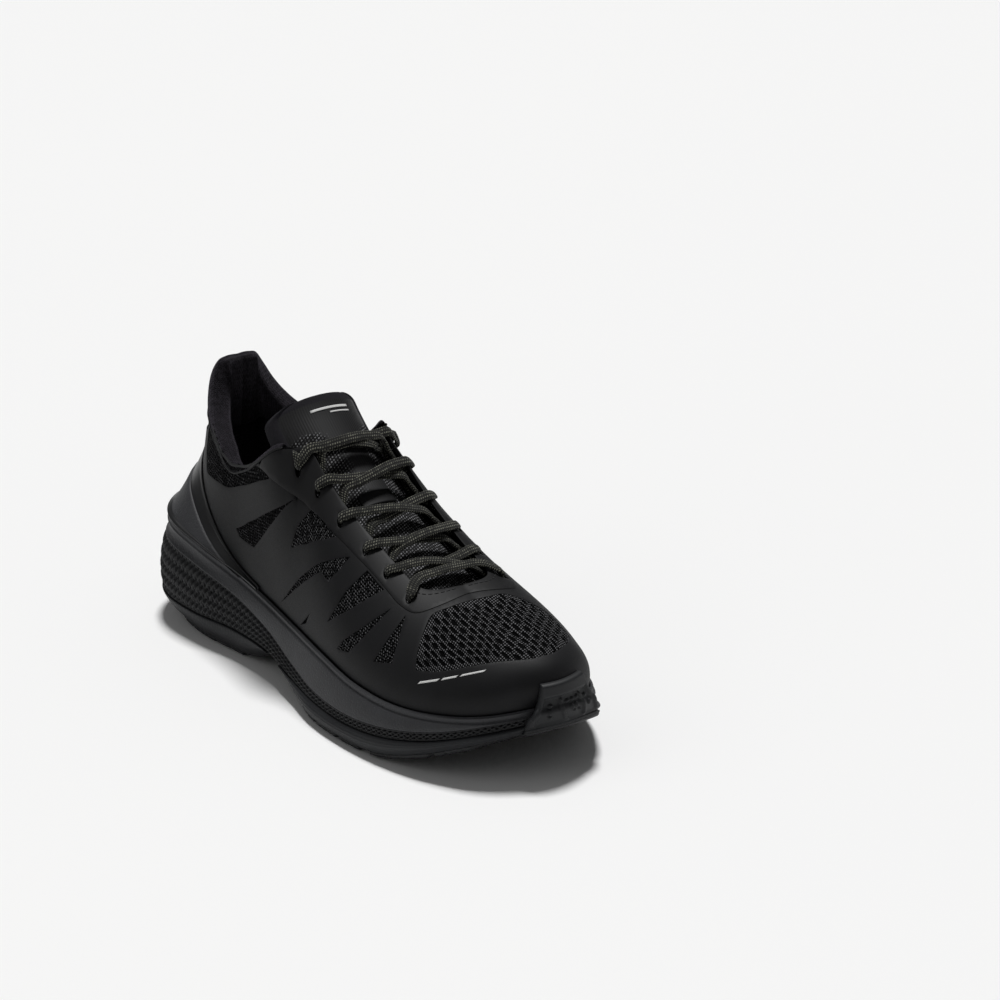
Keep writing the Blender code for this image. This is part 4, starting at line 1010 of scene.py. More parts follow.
# Along the collar, (station, value): thickness of the padding, fold outside, rise over the topline, bead;
# then the height fractions of the lining's lower end and of the padding's lower end
PUFF = [(0, 8.0), (2, 8.4), (3, 8.0), (4.0, 5.6), (4.9, 3.4), (COLLAR_END, 2.6)]
FOLD = [(0, 22), (0.7, 20), (1.4, 13), (2, 4.6), (2.5, 1.6), (3, 1.0), (4, 0.9), (COLLAR_END, 0.9)]
RISE = [(0, 1.6), (2, 1.6), (3, 2.2), (4.2, 2.2), (COLLAR_END, 1.6)]
BEAD = [(0, 1.0), (2, 0.8), (2.6, 0.2), (3, 0.0), (COLLAR_END, 0.0)]
LINING_END = ([0, 4, 4.9, COLLAR_END], [0.06, 0.06, 0.24, 0.4])
PADDING_END = ([0, 3.6, 4, 4.9, COLLAR_END], [0.30, 0.30, 0.28, 0.36, 0.45])
rows = []
piping = {False: [], True: []}
for k in range(-150, 151):
    s = abs(k) / 150 * COLLAR_END
    u = side_u(s, k > 0)
    vt = float(topline_at(s))
    lv = local_frame(s, min(vt, 0.9), k > 0)[1]
    fat, drop, rise_top, bead = (float(smooth(a, s)) for a in (PUFF, FOLD, RISE, BEAD))
    drop, rise_top = drop / lv, rise_top / lv
    deep, low = float(np.interp(s, *LINING_END)), float(np.interp(s, *PADDING_END))
    wave = 0.25 * math.sin(s * 9.0) + 0.18 * math.sin(s * 17.0 + 1.0)
    groove = 0.7 * math.exp(-(s / 0.13) ** 2)
    out = 1.0 - 0.35 * groove
    spots = [(deep, -(LINER + 1.7)), (low, -(LINER + 1.6)), (vt - drop * 1.1, -LINER), (vt - drop, 0.15),
             (vt - drop * 0.62, 0.3 + out * bead), (vt - drop * 0.2, 0.25 + (out + 0.1) * bead),
             (vt + rise_top * 0.75, -0.12 * fat - 0.6 * groove),
             (vt + rise_top, -(0.5 * fat) - 0.4 * groove), (vt + rise_top * 0.55, -(0.98 * fat) + groove),
             (vt - drop * 0.6, -(LINER + fat + 0.2 * wave) + 1.6 * groove),
             (vt - drop * 1.6, -(LINER + fat * 0.95 + 0.3 * wave) + 1.6 * groove),
             ((vt + low) / 2 - 0.03, -(LINER + fat * 0.7 + wave * 0.4) + 1.0 * groove),
             (low - 0.04, -(LINER + 3.2)),
             (deep, -(LINER + 3.0))]
    rows.append([surface_point(u, v, o) for v, o in spots])
    if s > 0.02 or k == 0:
        piping[k > 0].append(surface_point(u, vt - drop, 0.5))
collar = sheet("collar_padding", closed_section(rows, 84), COLLAR, "lining_knit", close_cols=True, caps=True)
rear(collar, "collar_lining")
seam_path = piping[False] + piping[True]
rear(tube("collar_piping", spline(seam_path[::4] + [seam_path[-1]], 4), 0.55, STAY, "bonded_film", 8))

# ---------------------------------------------------------------- heel clip
CLIP_TOP = [(0, 0.36), (1, 0.33), (1.83, 0.262), (2.5, 0.17), (3.0, 0.105), (3.5, 0.05), (4.5, 0.022)]
CLIP_END = 4.5             # last station of the clip
CLIP_GAP = 0.75            # its inner face stands off the upper, mm
CUP_EDGE = [(0, 0.6), (2.0, 0.6), (2.45, 0.57), (2.9, 0.46), (3.2, 0.36), (3.7, 0.12), (4.0, 0.0), (12, 0.0)]
CUP_SHAPE = [(0, 1.0), (0.15, 0.83), (0.3, 0.62), (0.46, 0.45), (0.64, 0.28), (0.82, 0.14), (1.0, 0.02)]


def cup_point(u, s, f, off):
    """Point on the heel slope: f from the rim (0) to the top edge of the clip (1)."""
    width = float(around(LIP_LOOP, u)[0])
    return surface_point(u, float(smooth(CLIP_TOP, min(s, CLIP_END))) * f,
                         CLIP_GAP + max(width * float(smooth(CUP_SHAPE, f)), 0.9) + off)


rows = []
for k in range(-140, 141):
    s = abs(k) / 140 * CLIP_END
    u = side_u(s, k > 0)
    top = float(smooth(CLIP_TOP, s))
    width = float(around(LIP_LOOP, u)[0])
    z0 = float(around(RIB_LOOP, u)[0]) + 0.3
    p, n = plan(u)
    reach = CLIP_GAP + max(width * 0.98, 1.4)
    a = surface_point(u, 0.012, CLIP_GAP)
    a[2] = z0 - 0.1
    b = np.array([*(p + n * reach), z0 - 0.1])
    slope = [cup_point(u, s, f, 0.0) for f in (0.14, 0.3, 0.46, 0.62, 0.78, 0.92)]
    rows.append([a, b, np.array([*(p + n * (reach + 0.2)), z0 + 0.9]), *slope,
                 surface_point(u, top, CLIP_GAP + 0.15), surface_point(u, top * 0.55, CLIP_GAP - 0.4)])
clip = sheet("heel_clip_shell", closed_section(rows, 60), CLIP, "clip_plastic", close_cols=True, caps=True)
rear(clip, "heel_clip")

# ---------------------------------------------------------------- sole
RING = 420                 # stations round the sole
LATTICE_RING = 1900        # stations round the lattice band, for its fine cells


def set_stations(n):
    """Spread the sole rows over n stations round the shoe.

    US is where they lie round the shoe, P and NRM the bite line and its normals there; the rest are the
    tables and the station number at each of them.
    """
    global NS, US, P, NRM, lip, ridge, belt, foot, bite, station
    NS, US = n, np.arange(n) / n
    P, NRM = plan(US)
    lip, ridge, belt, foot = (around(a, US) for a in (LIP_LOOP, RIDGE_LOOP, BAND_LOOP, FOOT_LOOP))
    bite = around(RIB_LOOP, US)[:, 0]
    station = np.minimum(US, 1 - US) * ROUND


set_stations(RING)
MID_Y = [(x, (a + b) / 2) for x, a, b in PLAN]
WALL = 1.0                 # sole edge outside the bite line, mm
RUBBER_T = 2.5             # outsole thickness


def edge_row(off, z):
    """Row round the shoe, off mm outside the bite line, at height z or z(x)."""
    off = np.broadcast_to(np.asarray(off, float), (NS,))
    q = P + NRM * off[:, None]
    z = np.asarray(z(q[:, 0]) if callable(z) else z, float)
    return np.concatenate([q, np.broadcast_to(z, (NS,))[:, None]], 1)


def inner_row(edge, r, z):
    """Row at fraction r of the way from the middle of the shoe to an edge row."""
    sx = np.clip(P[:, 0], -108, 112)
    spine = np.stack([sx, smooth(MID_Y, sx)], 1)
    q = spine + (edge[:, :2] - spine) * r
    return np.concatenate([q, z(q[:, 0])[:, None]], 1)


def core(edge, table, dz=0.0, r=0.6):
    """Two rows that close a piece towards the middle of the shoe."""
    return [inner_row(edge, 0, prof(table, dz)), inner_row(edge, r, prof(table, dz))]


def mix(a, b, t):
    return a + (b - a) * t


def prof(table, dz=0.0):
    """Height function of x from a profile."""
    return lambda x: smooth(table, x) + dz


def soft(rows, radii):
    """Section rows with rounded corners; radii in mm, 0 keeps a corner."""
    out = [rows[0]]
    for i in range(1, len(rows) - 1):
        r = radii[i]
        if not r:
            out.append(rows[i])
            continue
        a, b, c = rows[i - 1], rows[i], rows[i + 1]
        la = np.maximum(np.linalg.norm(a - b, axis=1, keepdims=True), 1e-6)
        lc = np.maximum(np.linalg.norm(c - b, axis=1, keepdims=True), 1e-6)
        pa = b + (a - b) * np.minimum(r / la, 0.45)
        pc = b + (c - b) * np.minimum(r / lc, 0.45)
        for t in np.arange(5) / 4:
            out.append((1 - t) ** 2 * pa + 2 * t * (1 - t) * b + t * t * pc)
    return out + [rows[-1]]


def bulged(a, b, bulge, n):
    """Rows from a to b (without the ends), pushed outward by bulge in the middle."""
    out = []
    for t in np.arange(1, n) / n:
        q = mix(a, b, t)
        q[:, :2] += NRM * np.broadcast_to(bulge, (NS,))[:, None] * 4 * t * (1 - t)
        out.append(q)
    return out


def solid_rows(name, rows, mat, slot):
    """Closed sole piece from rows round the shoe."""
    ob = sheet(name, rows, mat, slot, close_cols=True)
    with editing(ob) as bm:
        bmesh.ops.remove_doubles(bm, verts=bm.verts[:], dist=1e-7)
    return ob


# Upper foam: well, rolled rim, wall with a fine ledge, ridge over the band
well = edge_row(WALL, prof(BED))
under = edge_row(WALL, prof(PART_1))
heel_side = 1 - step(station, 2.6, 4.6)
rim_out = WALL + lip[:, 0]
rim = [edge_row(WALL, bite - 0.9), edge_row(WALL + 0.3 * lip[:, 0], bite + 0.35)]
rim_edge = edge_row(rim_out, bite - 0.5)
cup = []
for f, off in ((1.0, -0.5), (1.0, 0.75), (0.93, 1.0), (0.7, 0.75), (0.45, 0.6), (0.22, 0.5)):
    cup.append(np.array([cup_point(u, s, f * float(smooth(CUP_EDGE, s)), off) for u, s in zip(US, station)]))
cup = [np.where((station > 4.0)[:, None], mix(rim[1], rim_edge, (k + 1) / 7), c) for k, c in enumerate(cup)]
groove_row = edge_row(rim_out + 0.15 - 0.5 * (1 - heel_side), bite - 2.3)
wall_top = edge_row(rim_out + 0.7, bite - 3.1)
edge = edge_row(ridge[:, 0], ridge[:, 1])
dz = bite - ridge[:, 1]
wall_bulge = mix(0.6, -1.6, heel_side) * np.clip(dz / 12, 0.3, 1)
wall = bulged(wall_top, edge, wall_bulge, 9)
slope = edge_row(mix(WALL, ridge[:, 0], 0.5), mix(under[:, 2], ridge[:, 1], 0.5))
rows = soft([*core(well, BED), well, *rim, *cup, rim_edge, groove_row, wall_top, *wall, edge, slope, under,
             *core(under, PART_1)[::-1]],
            [0, 0, 0, 0.4, 0.3, 0, 0, 0, 0, 0, 0, 0.7, 0.4, 0.5] + [0] * len(wall) + [1.3, 0, 0, 0, 0])
foam = solid_rows("midsole_upper_foam", rows, FOAM_TOP, "foam")
flex(foam, "midsole_rear", "midsole_forefoot")

# Lattice band: woven diagonal strands with open cells between them
set_stations(LATTICE_RING)
GAP = 0.15                 # between the foams
STRAND_PITCH = 3.6
arc = lengths(P + NRM * ridge[:, :1])
total = arc[-1] + np.linalg.norm(P[0] - P[-1])
CELL = total / round(total / STRAND_PITCH)
top_edge = edge_row(ridge[:, 0] - 0.5, ridge[:, 1] - GAP)
low_edge = edge_row(belt[:, 0] - 0.5, belt[:, 1])
height = top_edge[:, 2] - low_edge[:, 2]
cell_h = np.clip(height / 4.2, 1.9, 5.6)
band = []
for t in np.arange(47) / 46:
    h = t * height
    q = mix(top_edge, low_edge, t)
    bulge = np.clip(height / 27, 0, 1) * 1.8 * 4 * t * (1 - t)
    a, b = arc / CELL + h / cell_h, arc / CELL - h / cell_h
    ra, rb = np.abs(np.cos(np.pi * a)), np.abs(np.cos(np.pi * b))
    over = np.sin(np.pi * (a + b)) * 0.2
    strand = np.maximum(step(ra, 0.56, 0.9) * (1 + over), step(rb, 0.56, 0.9) * (1 - over))
    mask = np.clip((np.minimum(h, height - h) - 0.25) / 0.8, 0, 1)
    depth = np.interp(height, [3, 8, 27], [1.0, 1.9, 2.7])
    q[:, :2] += NRM * (bulge - mask * depth * (1 - strand))[:, None]
    band.append(q)
under = edge_row(WALL, prof(PART_1))
slope = edge_row(mix(WALL, ridge[:, 0], 0.5), mix(under[:, 2], ridge[:, 1], 0.5))
lower = edge_row(WALL, prof(PART_2))
down = np.array([0, 0, GAP])
rows = [*core(under, PART_1, -GAP), under - down, slope - down,
        edge_row(ridge[:, 0] - 1.4, ridge[:, 1] - GAP),
        *band, edge_row(belt[:, 0] - 1.4, belt[:, 1] - 0.05), lower, *core(lower, PART_2)[::-1]]
lattice = solid_rows("lattice_band_foam", rows, FOAM_BAND, "foam")
flex(lattice, "lattice_layer_rear", "lattice_layer_forefoot")
set_stations(RING)

# Crash pad and forefoot pads
top = edge_row(WALL, prof(PART_2, -GAP))
tread = edge_row(foot[:, 0] - 0.6, prof(GROUND, RUBBER_T - 0.3))
shoulder = edge_row(belt[:, 0] + 0.5, belt[:, 1] - GAP - 0.1)
skirt = edge_row(foot[:, 0] + 0.35, prof(GROUND, RUBBER_T + 1.3))
side = bulged(shoulder, skirt, 1.3, 8)
rows = soft([*core(top, PART_2, -GAP), top, shoulder, *side, skirt, tread,
             *core(tread, GROUND, RUBBER_T - 0.3, 0.75)[::-1]],
            [0, 0, 0, 1.2] + [0] * len(side) + [1.2, 0.9, 0, 0])


def cut(ob, co, no):
    """Cut a closed piece with a plane, keep the side the normal points away from, and fill."""
    with editing(ob) as bm:
        geom = bm.verts[:] + bm.edges[:] + bm.faces[:]
        res = bmesh.ops.bisect_plane(bm, geom=geom, dist=1e-7, plane_co=Vector(place(co)),
                                     plane_no=Vector(no),
                                     clear_outer=True)
        rim_edges = [e for e in res["geom_cut"] if isinstance(e, bmesh.types.BMEdge)]
        bmesh.ops.triangle_fill(bm, use_beauty=True, use_dissolve=False, edges=rim_edges)
    return ob


heel_pad = solid_rows("heel_crash_foam", rows, FOAM_HEEL, "foam")
rear(cut(heel_pad, (-30, 0, 0), (1, 0, 0.25)), "heel_crash_pad")
fore_pad = solid_rows("forefoot_pad_foam", rows, FOAM_FORE, "foam")
flex(cut(fore_pad, (-22, 0, 0), (-1, 0, 0.25)), "forefoot_pad_rear", "forefoot_pad_front")

# ---------------------------------------------------------------- outsole rubber
TREAD_INSET = 1.0          # tread edge inside the foot of the sole wall, mm
GROOVE_DEPTH = 1.3


def outer_edge(xs, medial):
    """y of the tread's outer edge on one side."""
    u = np.linspace(0.0, 0.5, 600)
    if medial:
        u = 1 - u
    p, n = plan(u)
    q = p + n * (around(FOOT_LOOP, u)[:, 0:1] - TREAD_INSET)
    order = np.argsort(q[:, 0])
    return np.interp(xs, q[order, 0], q[order, 1])


def pod(name, x0, x1, medial, y_in, bars, node):
    """Tread pod: a rounded plate cut into bars by grooves across the shoe."""
    sign = 1 if medial else -1
    nx, ny = max(10, int((x1 - x0) / 0.7)), 26
    xs = np.linspace(x0, x1, nx)
    yi = sign * np.interp(xs, [x0, x1], y_in)
    yo = outer_edge(xs, medial)
    grid = []
    groove_at = np.linspace(x0, x1, bars + 1)[1:-1]
    for j in range(ny + 1):
        t = j / ny
        y = yi + (yo - yi) * t
        z = smooth(GROUND, xs)
        lift = np.zeros(nx)
        for g in groove_at:
            beside = np.abs(xs - g + sign * 2.5 * (t - 0.5))
            lift = np.maximum(lift, GROOVE_DEPTH * (1 - step(beside, 0.35, 1.0)))
        lift = np.maximum(lift, 0.9 * (1 - step(abs(t - 0.5) * np.abs(yo - yi), 0.4, 1.0)))
        to_rim = np.minimum(np.minimum(xs - x0, x1 - xs), np.abs(yo - yi) * min(t, 1 - t))
        rim_lift = 0.7 * (1 - step(to_rim, 0.0, 0.9))
        grid.append(np.stack([xs, y, z + np.maximum(lift, rim_lift)], 1))
    low = np.array(grid)
    up = low[::-1].copy()
    up[..., 2] = smooth(GROUND, up[..., 0]) + RUBBER_T
    ob = sheet(name, np.concatenate([low, up]), RUBBER, "outsole_rubber", close_rows=True)
    with editing(ob) as bm:
        bmesh.ops.holes_fill(bm, edges=[e for e in bm.edges if e.is_boundary], sides=0)
        bmesh.ops.recalc_face_normals(bm, faces=bm.faces[:])
    return flex(ob, node)


for m, side_name in ((False, "lateral"), (True, "medial")):
    pod(f"heel_tread_{side_name}", -130, -62.5, m, (5, 9), 6, f"outsole_heel_{side_name}")
    for k, (x0, x1) in enumerate(((6.5, 26), (29, 47), (50, 65.5))):
        pod(f"ball_tread_{side_name}_{k + 1}", x0, x1, m, (12, 12), 2, f"outsole_ball_{side_name}_{k + 1}")
    pod(f"toe_tread_{side_name}", 74, 108, m, (12, 9), 4, f"outsole_toe_{side_name}")
    pod(f"toe_lugs_{side_name}", 111, 125, m, (4, 2), 4, "toe_rubber")

# Toe bumper: framed panel with two curved ribs and small studs.
# End stations of its nine rows, from under the toe to the upper:
TOE_L = [11.48, 11.48, 11.5, 11.5, 11.54, 11.6, 11.65, 11.7, 11.75]
TOE_M = [10.95, 10.95, 10.97, 11.0, 11.06, 11.15, 11.22, 11.32, 11.42]
COLUMNS = 25


def bumper_point(r, u):
    """Control point of the toe bumper: row 0 lies under the toe, row 8 on the upper."""
    p, n = plan(u)
    (o_ridge, z_ridge), (o_band, z_band) = around(RIDGE_LOOP, u), around(BAND_LOOP, u)
    o_foot, lip_w, z_bite = (float(around(a, u)[0]) for a in (FOOT_LOOP, LIP_LOOP, RIB_LOOP))
    if r == 0:
        e = p + n * o_foot
        q = np.array([112 + (e[0] - 112) * 0.35, e[1] * 0.92])
        return [*q, float(smooth(GROUND, q[0])) + RUBBER_T - 0.1]
    if r == 1:
        q = p + n * (o_foot + 0.25)
        return [*q, float(smooth(GROUND, q[0])) + RUBBER_T - 0.1]
    if r == 2:
        g = float(smooth(GROUND, p[0])) + RUBBER_T + 0.3
        return [*(p + n * ((o_band + o_foot) / 2 + 1.4)), (z_band - 0.5 + g) / 2 - 0.1]
    if r == 3:
        return [*(p + n * (o_band + 0.6)), z_band]
    if r == 4:
        return [*(p + n * (max(o_ridge, o_band) + 0.8)), z_ridge]
    if r == 5:
        return [*(p + n * (max((1.3 + lip_w + o_ridge) / 2 + 1.1, o_ridge) + 0.6)), (z_bite + z_ridge) / 2]
    if r == 6:
        return [*(p + n * (1.3 + lip_w + 0.9)), z_bite + 0.6]
    return surface_point(u, 0.1, 1.3) if r == 7 else surface_point(u, 0.26, 0.7)


ctrl = np.array([[bumper_point(r, u / ROUND) for u in np.linspace(a, ROUND - b, COLUMNS)]
                 for r, (a, b) in enumerate(zip(TOE_L, TOE_M))], float)
NR, NK = 110, 130          # rows and columns of the finished bumper


def resample(grid, n, axis):
    """The grid of control points with n smooth samples along an axis."""
    g = np.moveaxis(grid, axis, 0)
    k = len(g)
    t = np.linspace(0, k - 1, n)
    i = np.minimum(t.astype(int), k - 2)
    a = (t - i).reshape(-1, *([1] * (g.ndim - 1)))
    four = g[np.maximum(i - 1, 0)], g[i], g[i + 1], g[np.minimum(i + 2, k - 1)]
    return np.moveaxis(catmull(*four, a), 0, axis)


base = resample(resample(ctrl, NR, 0), NK, 1)
da = np.gradient(base, axis=1)
db = np.gradient(base, axis=0)
nrm = np.cross(da, db)
nrm /= np.linalg.norm(nrm, axis=2, keepdims=True)
if (nrm[60] @ np.array([1, 0, 0])).mean() < 0:
    nrm = -nrm
B, A = np.meshgrid(np.linspace(0, 1, NR), np.linspace(0, 1, NK), indexing="ij")
face = step(B, 0.3, 0.36)
frame_edge = np.maximum(1 - step(np.minimum(A, 1 - A), 0.06, 0.1), step(B, 0.86, 0.9)) * face


def rib(middle, bow):
    """Curved rib up the bumper's face, at fraction middle across it."""
    return 1 - step(np.abs(A - middle + bow * (B - 0.6) * 4 * (1 - B)), 0.012, 0.03)


ribs = np.maximum(rib(0.36, 0.07), rib(0.70, -0.06)) * face * (1 - step(B, 0.83, 0.87))
relief = 1.35 * frame_edge + 1.15 * ribs
# Studs: place across and up the face, radius in mm
STUDS = [(0.19, 0.76, 1.2), (0.2, 0.6, 1.0), (0.22, 0.47, 0.8), (0.45, 0.78, 1.1), (0.55, 0.79, 1.1),
         (0.64, 0.8, 1.0), (0.5, 0.62, 0.8), (0.58, 0.64, 0.8), (0.82, 0.78, 1.1), (0.81, 0.6, 0.9),
         (0.52, 0.5, 0.7), (0.6, 0.5, 0.7)]
for across, up_face, radius in STUDS:
    d = np.linalg.norm(base - base[int(up_face * (NR - 1)), int(across * (NK - 1))], axis=2)
    dome = 1.1 * np.sqrt(np.clip(1 - (d / radius) ** 2, 0, 1))
    relief = np.where(d < radius, np.maximum(relief, dome), relief)
edge_in = np.minimum(np.minimum(A, 1 - A) / 0.03, np.minimum((1 - B) / 0.03, 1))
outer = base + nrm * ((1.5 + relief) * np.sqrt(np.clip(edge_in, 0, 1)))[..., None]
bumper = sheet("toe_bumper", outer, RUBBER, "outsole_rubber", flip=False)
if np.dot(np.array(bumper.data.polygons[NK * 60 + 60].normal), nrm[60, 60]) < 0:
    bumper.data.flip_normals()
thicken(bumper, 0.6, -1.0)
flex(bumper, "toe_rubber")

# ---------------------------------------------------------------- boards inside
SOCK_INSET = ([0, 5, 7, 10, 12], [5, 4.6, 2.8, 3, 3.8])     # stations, mm inside the bite line
for name, lo, hi, inset, mat, slot in (("strobel", 0.1, 1.0, 1.7, BOARD, "strobel_board"),
                                       ("sockliner", 1.3, 5.8, 0, SOCK, "sockliner")):
    ins = mirrored([[inset or float(np.interp(s, *SOCK_INSET))] for s in range(HALF + 1)])
    ins = around(ins, US)[:, 0]
    cup = 2.2 * (1 - step(station, 3.5, 6)) if name == "sockliner" else np.zeros(NS)
    e1, e0 = edge_row(-ins, prof(BED, hi)), edge_row(-ins, prof(BED, lo))
    e1[:, 2] += cup
    rows = soft([*core(e1, BED, hi), inner_row(e1, 0.88, prof(BED, hi)), e1, e0, *core(e0, BED, lo)[::-1]],
                [0, 0, 3, 0.8, 0.3, 0, 0])
    body = solid_rows(name + "_whole", rows, mat, slot)
    if name == "strobel":
        body.name = "strobel_sheet"
        flex(body, "strobel_rear", "strobel_forefoot")
    else:
        front = body.copy()
        front.data = body.data.copy()
        SCENE.collection.objects.link(front)
        front.name, body.name = "sockliner_front", "sockliner_back"
        cut(body, (69.8, 0, 0), (1, 0, 0))
        gap = math.radians(21)     # room for the toes to bend up
        cut(front, (70.1, 0, 18), (-math.cos(gap), 0, math.sin(gap)))
        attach(body, "insole")
        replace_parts(body, "insole_rear")
        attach(front, "forefoot")
        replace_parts(front, "insole_forefoot")

# ---------------------------------------------------------------- tongue
FLAP_X, FLAP_Z = -42.0, 121.5
# Against t, from the toe end (0) to the top (6): the middle line's x and z, the section's radius and half
# width, and its shift in y
SPINE = [(0, 79, 61.5), (1, 64, 64.5), (2, 38, 73), (3, 10, 85), (4, -16, 101.0), (5, FLAP_X, FLAP_Z),
         (6, FLAP_X - 9.5, FLAP_Z + 9)]
ARC = [(0, 70, 24), (1, 62, 25), (2, 48, 26), (3, 38, 26.5), (4, 33, 27.5), (5, 31, 28), (6, 31, 27)]
ARC_Y = [(0, 0), (2, -1), (4, -2), (5, -2), (6, -2)]
NQ = 120                   # samples round the section


def spine_frame(t):
    """Middle line of the tongue at t: x, z and the upward normal in the xz plane."""
    x, z = smooth(SPINE, t)
    xa, za = smooth(SPINE, min(t + 1e-3, 6))
    xb, zb = smooth(SPINE, max(t - 1e-3, 0))
    d = np.array([xa - xb, za - zb])
    d /= np.linalg.norm(d)
    n = np.array([-d[1], d[0]])
    return float(x), float(z), n if n[1] > 0 else -n


def tongue_point(t, y, off=0.0):
    """Point of the tongue's outer face: t along it, y across, off above it in mm."""
    x, z, n = spine_frame(t)
    radius = smooth(ARC, t)[0]
    a = math.asin(max(-1, min(1, y / radius)))
    drop = radius - (radius + off) * math.cos(a)
    return np.array([x - n[0] * drop, float(smooth(ARC_Y, t)) + (radius + off) * math.sin(a),
                     z - n[1] * drop])


def tongue_section(t):
    """Closed padded section at t, with y and how far each sample belongs to the soft edge (0 to 1)."""
    x, z, n = spine_frame(t)
    radius, half = smooth(ARC, t)
    end = step(t, 5.45, 6.0)
    half = half - 9.0 * (1 - math.sqrt(max(0.0, 1 - (np.clip((t - 5.5) / 0.5, 0, 1) ** 2.4))))
    thick = 1.6 + 2.9 * min(1, t / 2) - 0.9 * end
    middle = float(smooth(ARC_Y, t))
    pts, ys, edge = [], [], []
    for k in range(NQ):
        a = 2 * math.pi * k / NQ
        c, s = math.cos(a), math.sin(a)
        y = half * math.copysign(abs(c) ** 0.55, c)
        lift = math.copysign(abs(s) ** 0.75, s)
        q = abs(y) / half
        body = thick * (1 - 0.35 * q ** 4)
        roll = 0.5 * math.exp(-((abs(y) - (half - 3)) / 1.6) ** 2)
        roll -= 0.45 * math.exp(-((abs(y) - (half - 5.6)) / 0.7) ** 2)
        off = -thick / 2 + lift * body / 2 + (roll if s > 0 else 0)
        ang = math.asin(max(-1, min(1, y / radius)))
        drop = radius - (radius + off) * math.cos(ang)
        pts.append((x - n[0] * drop, middle + (radius + off) * math.sin(ang), z - n[1] * drop))
        ys.append(y)
        edge.append(max(step(abs(y), half - 6.0, half - 5.0) * step(t, 4.3, 4.5), step(t, 5.62, 5.72),
                        1.0 if s < -0.05 else 0.0))
    return pts, ys, edge


def tongue_piece(name, ts):
    """Part of the tongue, with the numbers that its material reads."""
    rows, ys, edges, tt = [], [], [], []
    for t in ts:
        p, y, e = tongue_section(t)
        rows.append(p)
        ys += y
        edges += e
        tt += [t] * NQ
    ob = sheet(name, rows, TONGUE, "lining_knit", close_cols=True, caps=True)
    t, y = np.array(tt), np.array(ys)
    side = 1 - step(np.hypot((t - 4.5) / 0.34, (y + 17) / 11.5), 0.94, 1.04)
    side = np.maximum(side, 1 - step(np.hypot((t - 4.5) / 0.34, (y - 21) / 9.5), 0.94, 1.04))
    low = 1 - step(t, 4.42, 4.5)
    strip = (1 - step(np.abs(y - 4), 6.6, 7.4)) * step(t, 3.38, 3.46)
    tag(ob, "mesh", np.maximum(side, low * (1 - strip)) * (1 - np.array(edges)))
    tag(ob, "edge", edges)
    return ob


SPLIT_T = 3.6              # where the tongue splits into the front piece and the top piece
front = tongue_piece("tongue_front", np.linspace(0.02, SPLIT_T, 110))
flex(front)
top_ts = np.concatenate([np.linspace(SPLIT_T, 5.5, 70),
                         5.5 + 0.5 * np.sin(np.linspace(0.02, math.pi / 2, 26))])
back = tongue_piece("tongue_top", top_ts)
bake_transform(back)
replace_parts(back, "tongue", "tongue_flap")

# Keeper strap on the tongue
rows = []
for t in np.linspace(3.36, 3.62, 10):
    r = []
    for k in range(40):
        a = 2 * math.pi * k / 40
        y = 9 * math.copysign(abs(math.cos(a)) ** 0.6, math.cos(a)) + 0.5
        r.append(tongue_point(t, y, 1.0 + 0.45 * math.sin(a)))
    rows.append(r)
rear(sheet("lace_keeper_strap", rows, STAY, "lace_cord", close_cols=True, caps=True), "lace_keeper")

# ---------------------------------------------------------------- laces
LACE_W, LACE_T = 5.4, 1.75
LACE_PITCH, LACE_SIDES = 0.9, 20
STAY_TOP = 1.0             # outer face of the eyestay, mm above the surface


def spot(s, v, off, medial, width):
    """Lace spot on the upper: position, normal, width factor and direction across the lace."""
    u = side_u(s, medial)
    p = surface_point(u, v, off)
    n = surface_point(u, v, off + 1.0) - p
    d = surface_point(u + 2e-3, v, off) - surface_point(u - 2e-3, v, off)
    d /= np.linalg.norm(d)
    return p, n, width, -d if medial else d


def plunge(i, m):
    """The lace going down through eyelet i."""
    s, v = EYELETS[i]
    return [spot(s + 0.02, v + 0.012, STAY_TOP + 1.1, m, 0.8), spot(s, v + 0.002, STAY_TOP + 0.3, m, 0.55),
            spot(s, v, -0.9, m, 0.46), spot(s, v + 0.006, -3.0, m, 0.46)]


def under_stay_run(i, m):
    """The lace under the eyestay, from eyelet i towards the throat."""
    (s1, v1), (s2, _) = EYELETS[i], EYELETS[i - 1]
    return [spot(s1 * 0.92 + s2 * 0.08, v1 + 0.035, -3.1, m, 0.5),
            spot(s1 * 0.88 + s2 * 0.12, v1 + 0.085, -3.1, m, 0.6)]


def free_run(a, b, lift, sway):
    """The lace through the air between two spots, lifted in the middle and swaying to both sides."""
    out = []
    for t in (0.0, 0.18, 0.36, 0.5, 0.64, 0.82, 1.0):
        q = a[0] * (1 - t) + b[0] * t
        n = a[1] * (1 - t) + b[1] * t
        n = n / np.linalg.norm(n)
        d = np.cross(b[0] - a[0], n)
        d = d / np.linalg.norm(d)
        d = d if d[0] > 0 else -d
        out.append((q + n * math.sin(math.pi * t) * lift + d * math.sin(2 * math.pi * t) * sway, n, 1.0, d))
    return out


def crossing(i, m, lift, sway):
    """The lace from under one eyestay over to the next eyelet on the other side."""
    (s1, v1), (s2, v2) = EYELETS[i], EYELETS[i - 1]
    a = spot(s1 * 0.84 + s2 * 0.16, v1 * 0.8 + v2 * 0.2 + 0.15, -1.9, m, 0.85)
    b = spot(s2 + 0.2, v2 + 0.085, STAY_TOP + 1.0, not m, 1.0)
    return free_run(a, b, lift, sway) + [spot(s2 + 0.09, v2 + 0.04, STAY_TOP + 1.15, not m, 1.0)]


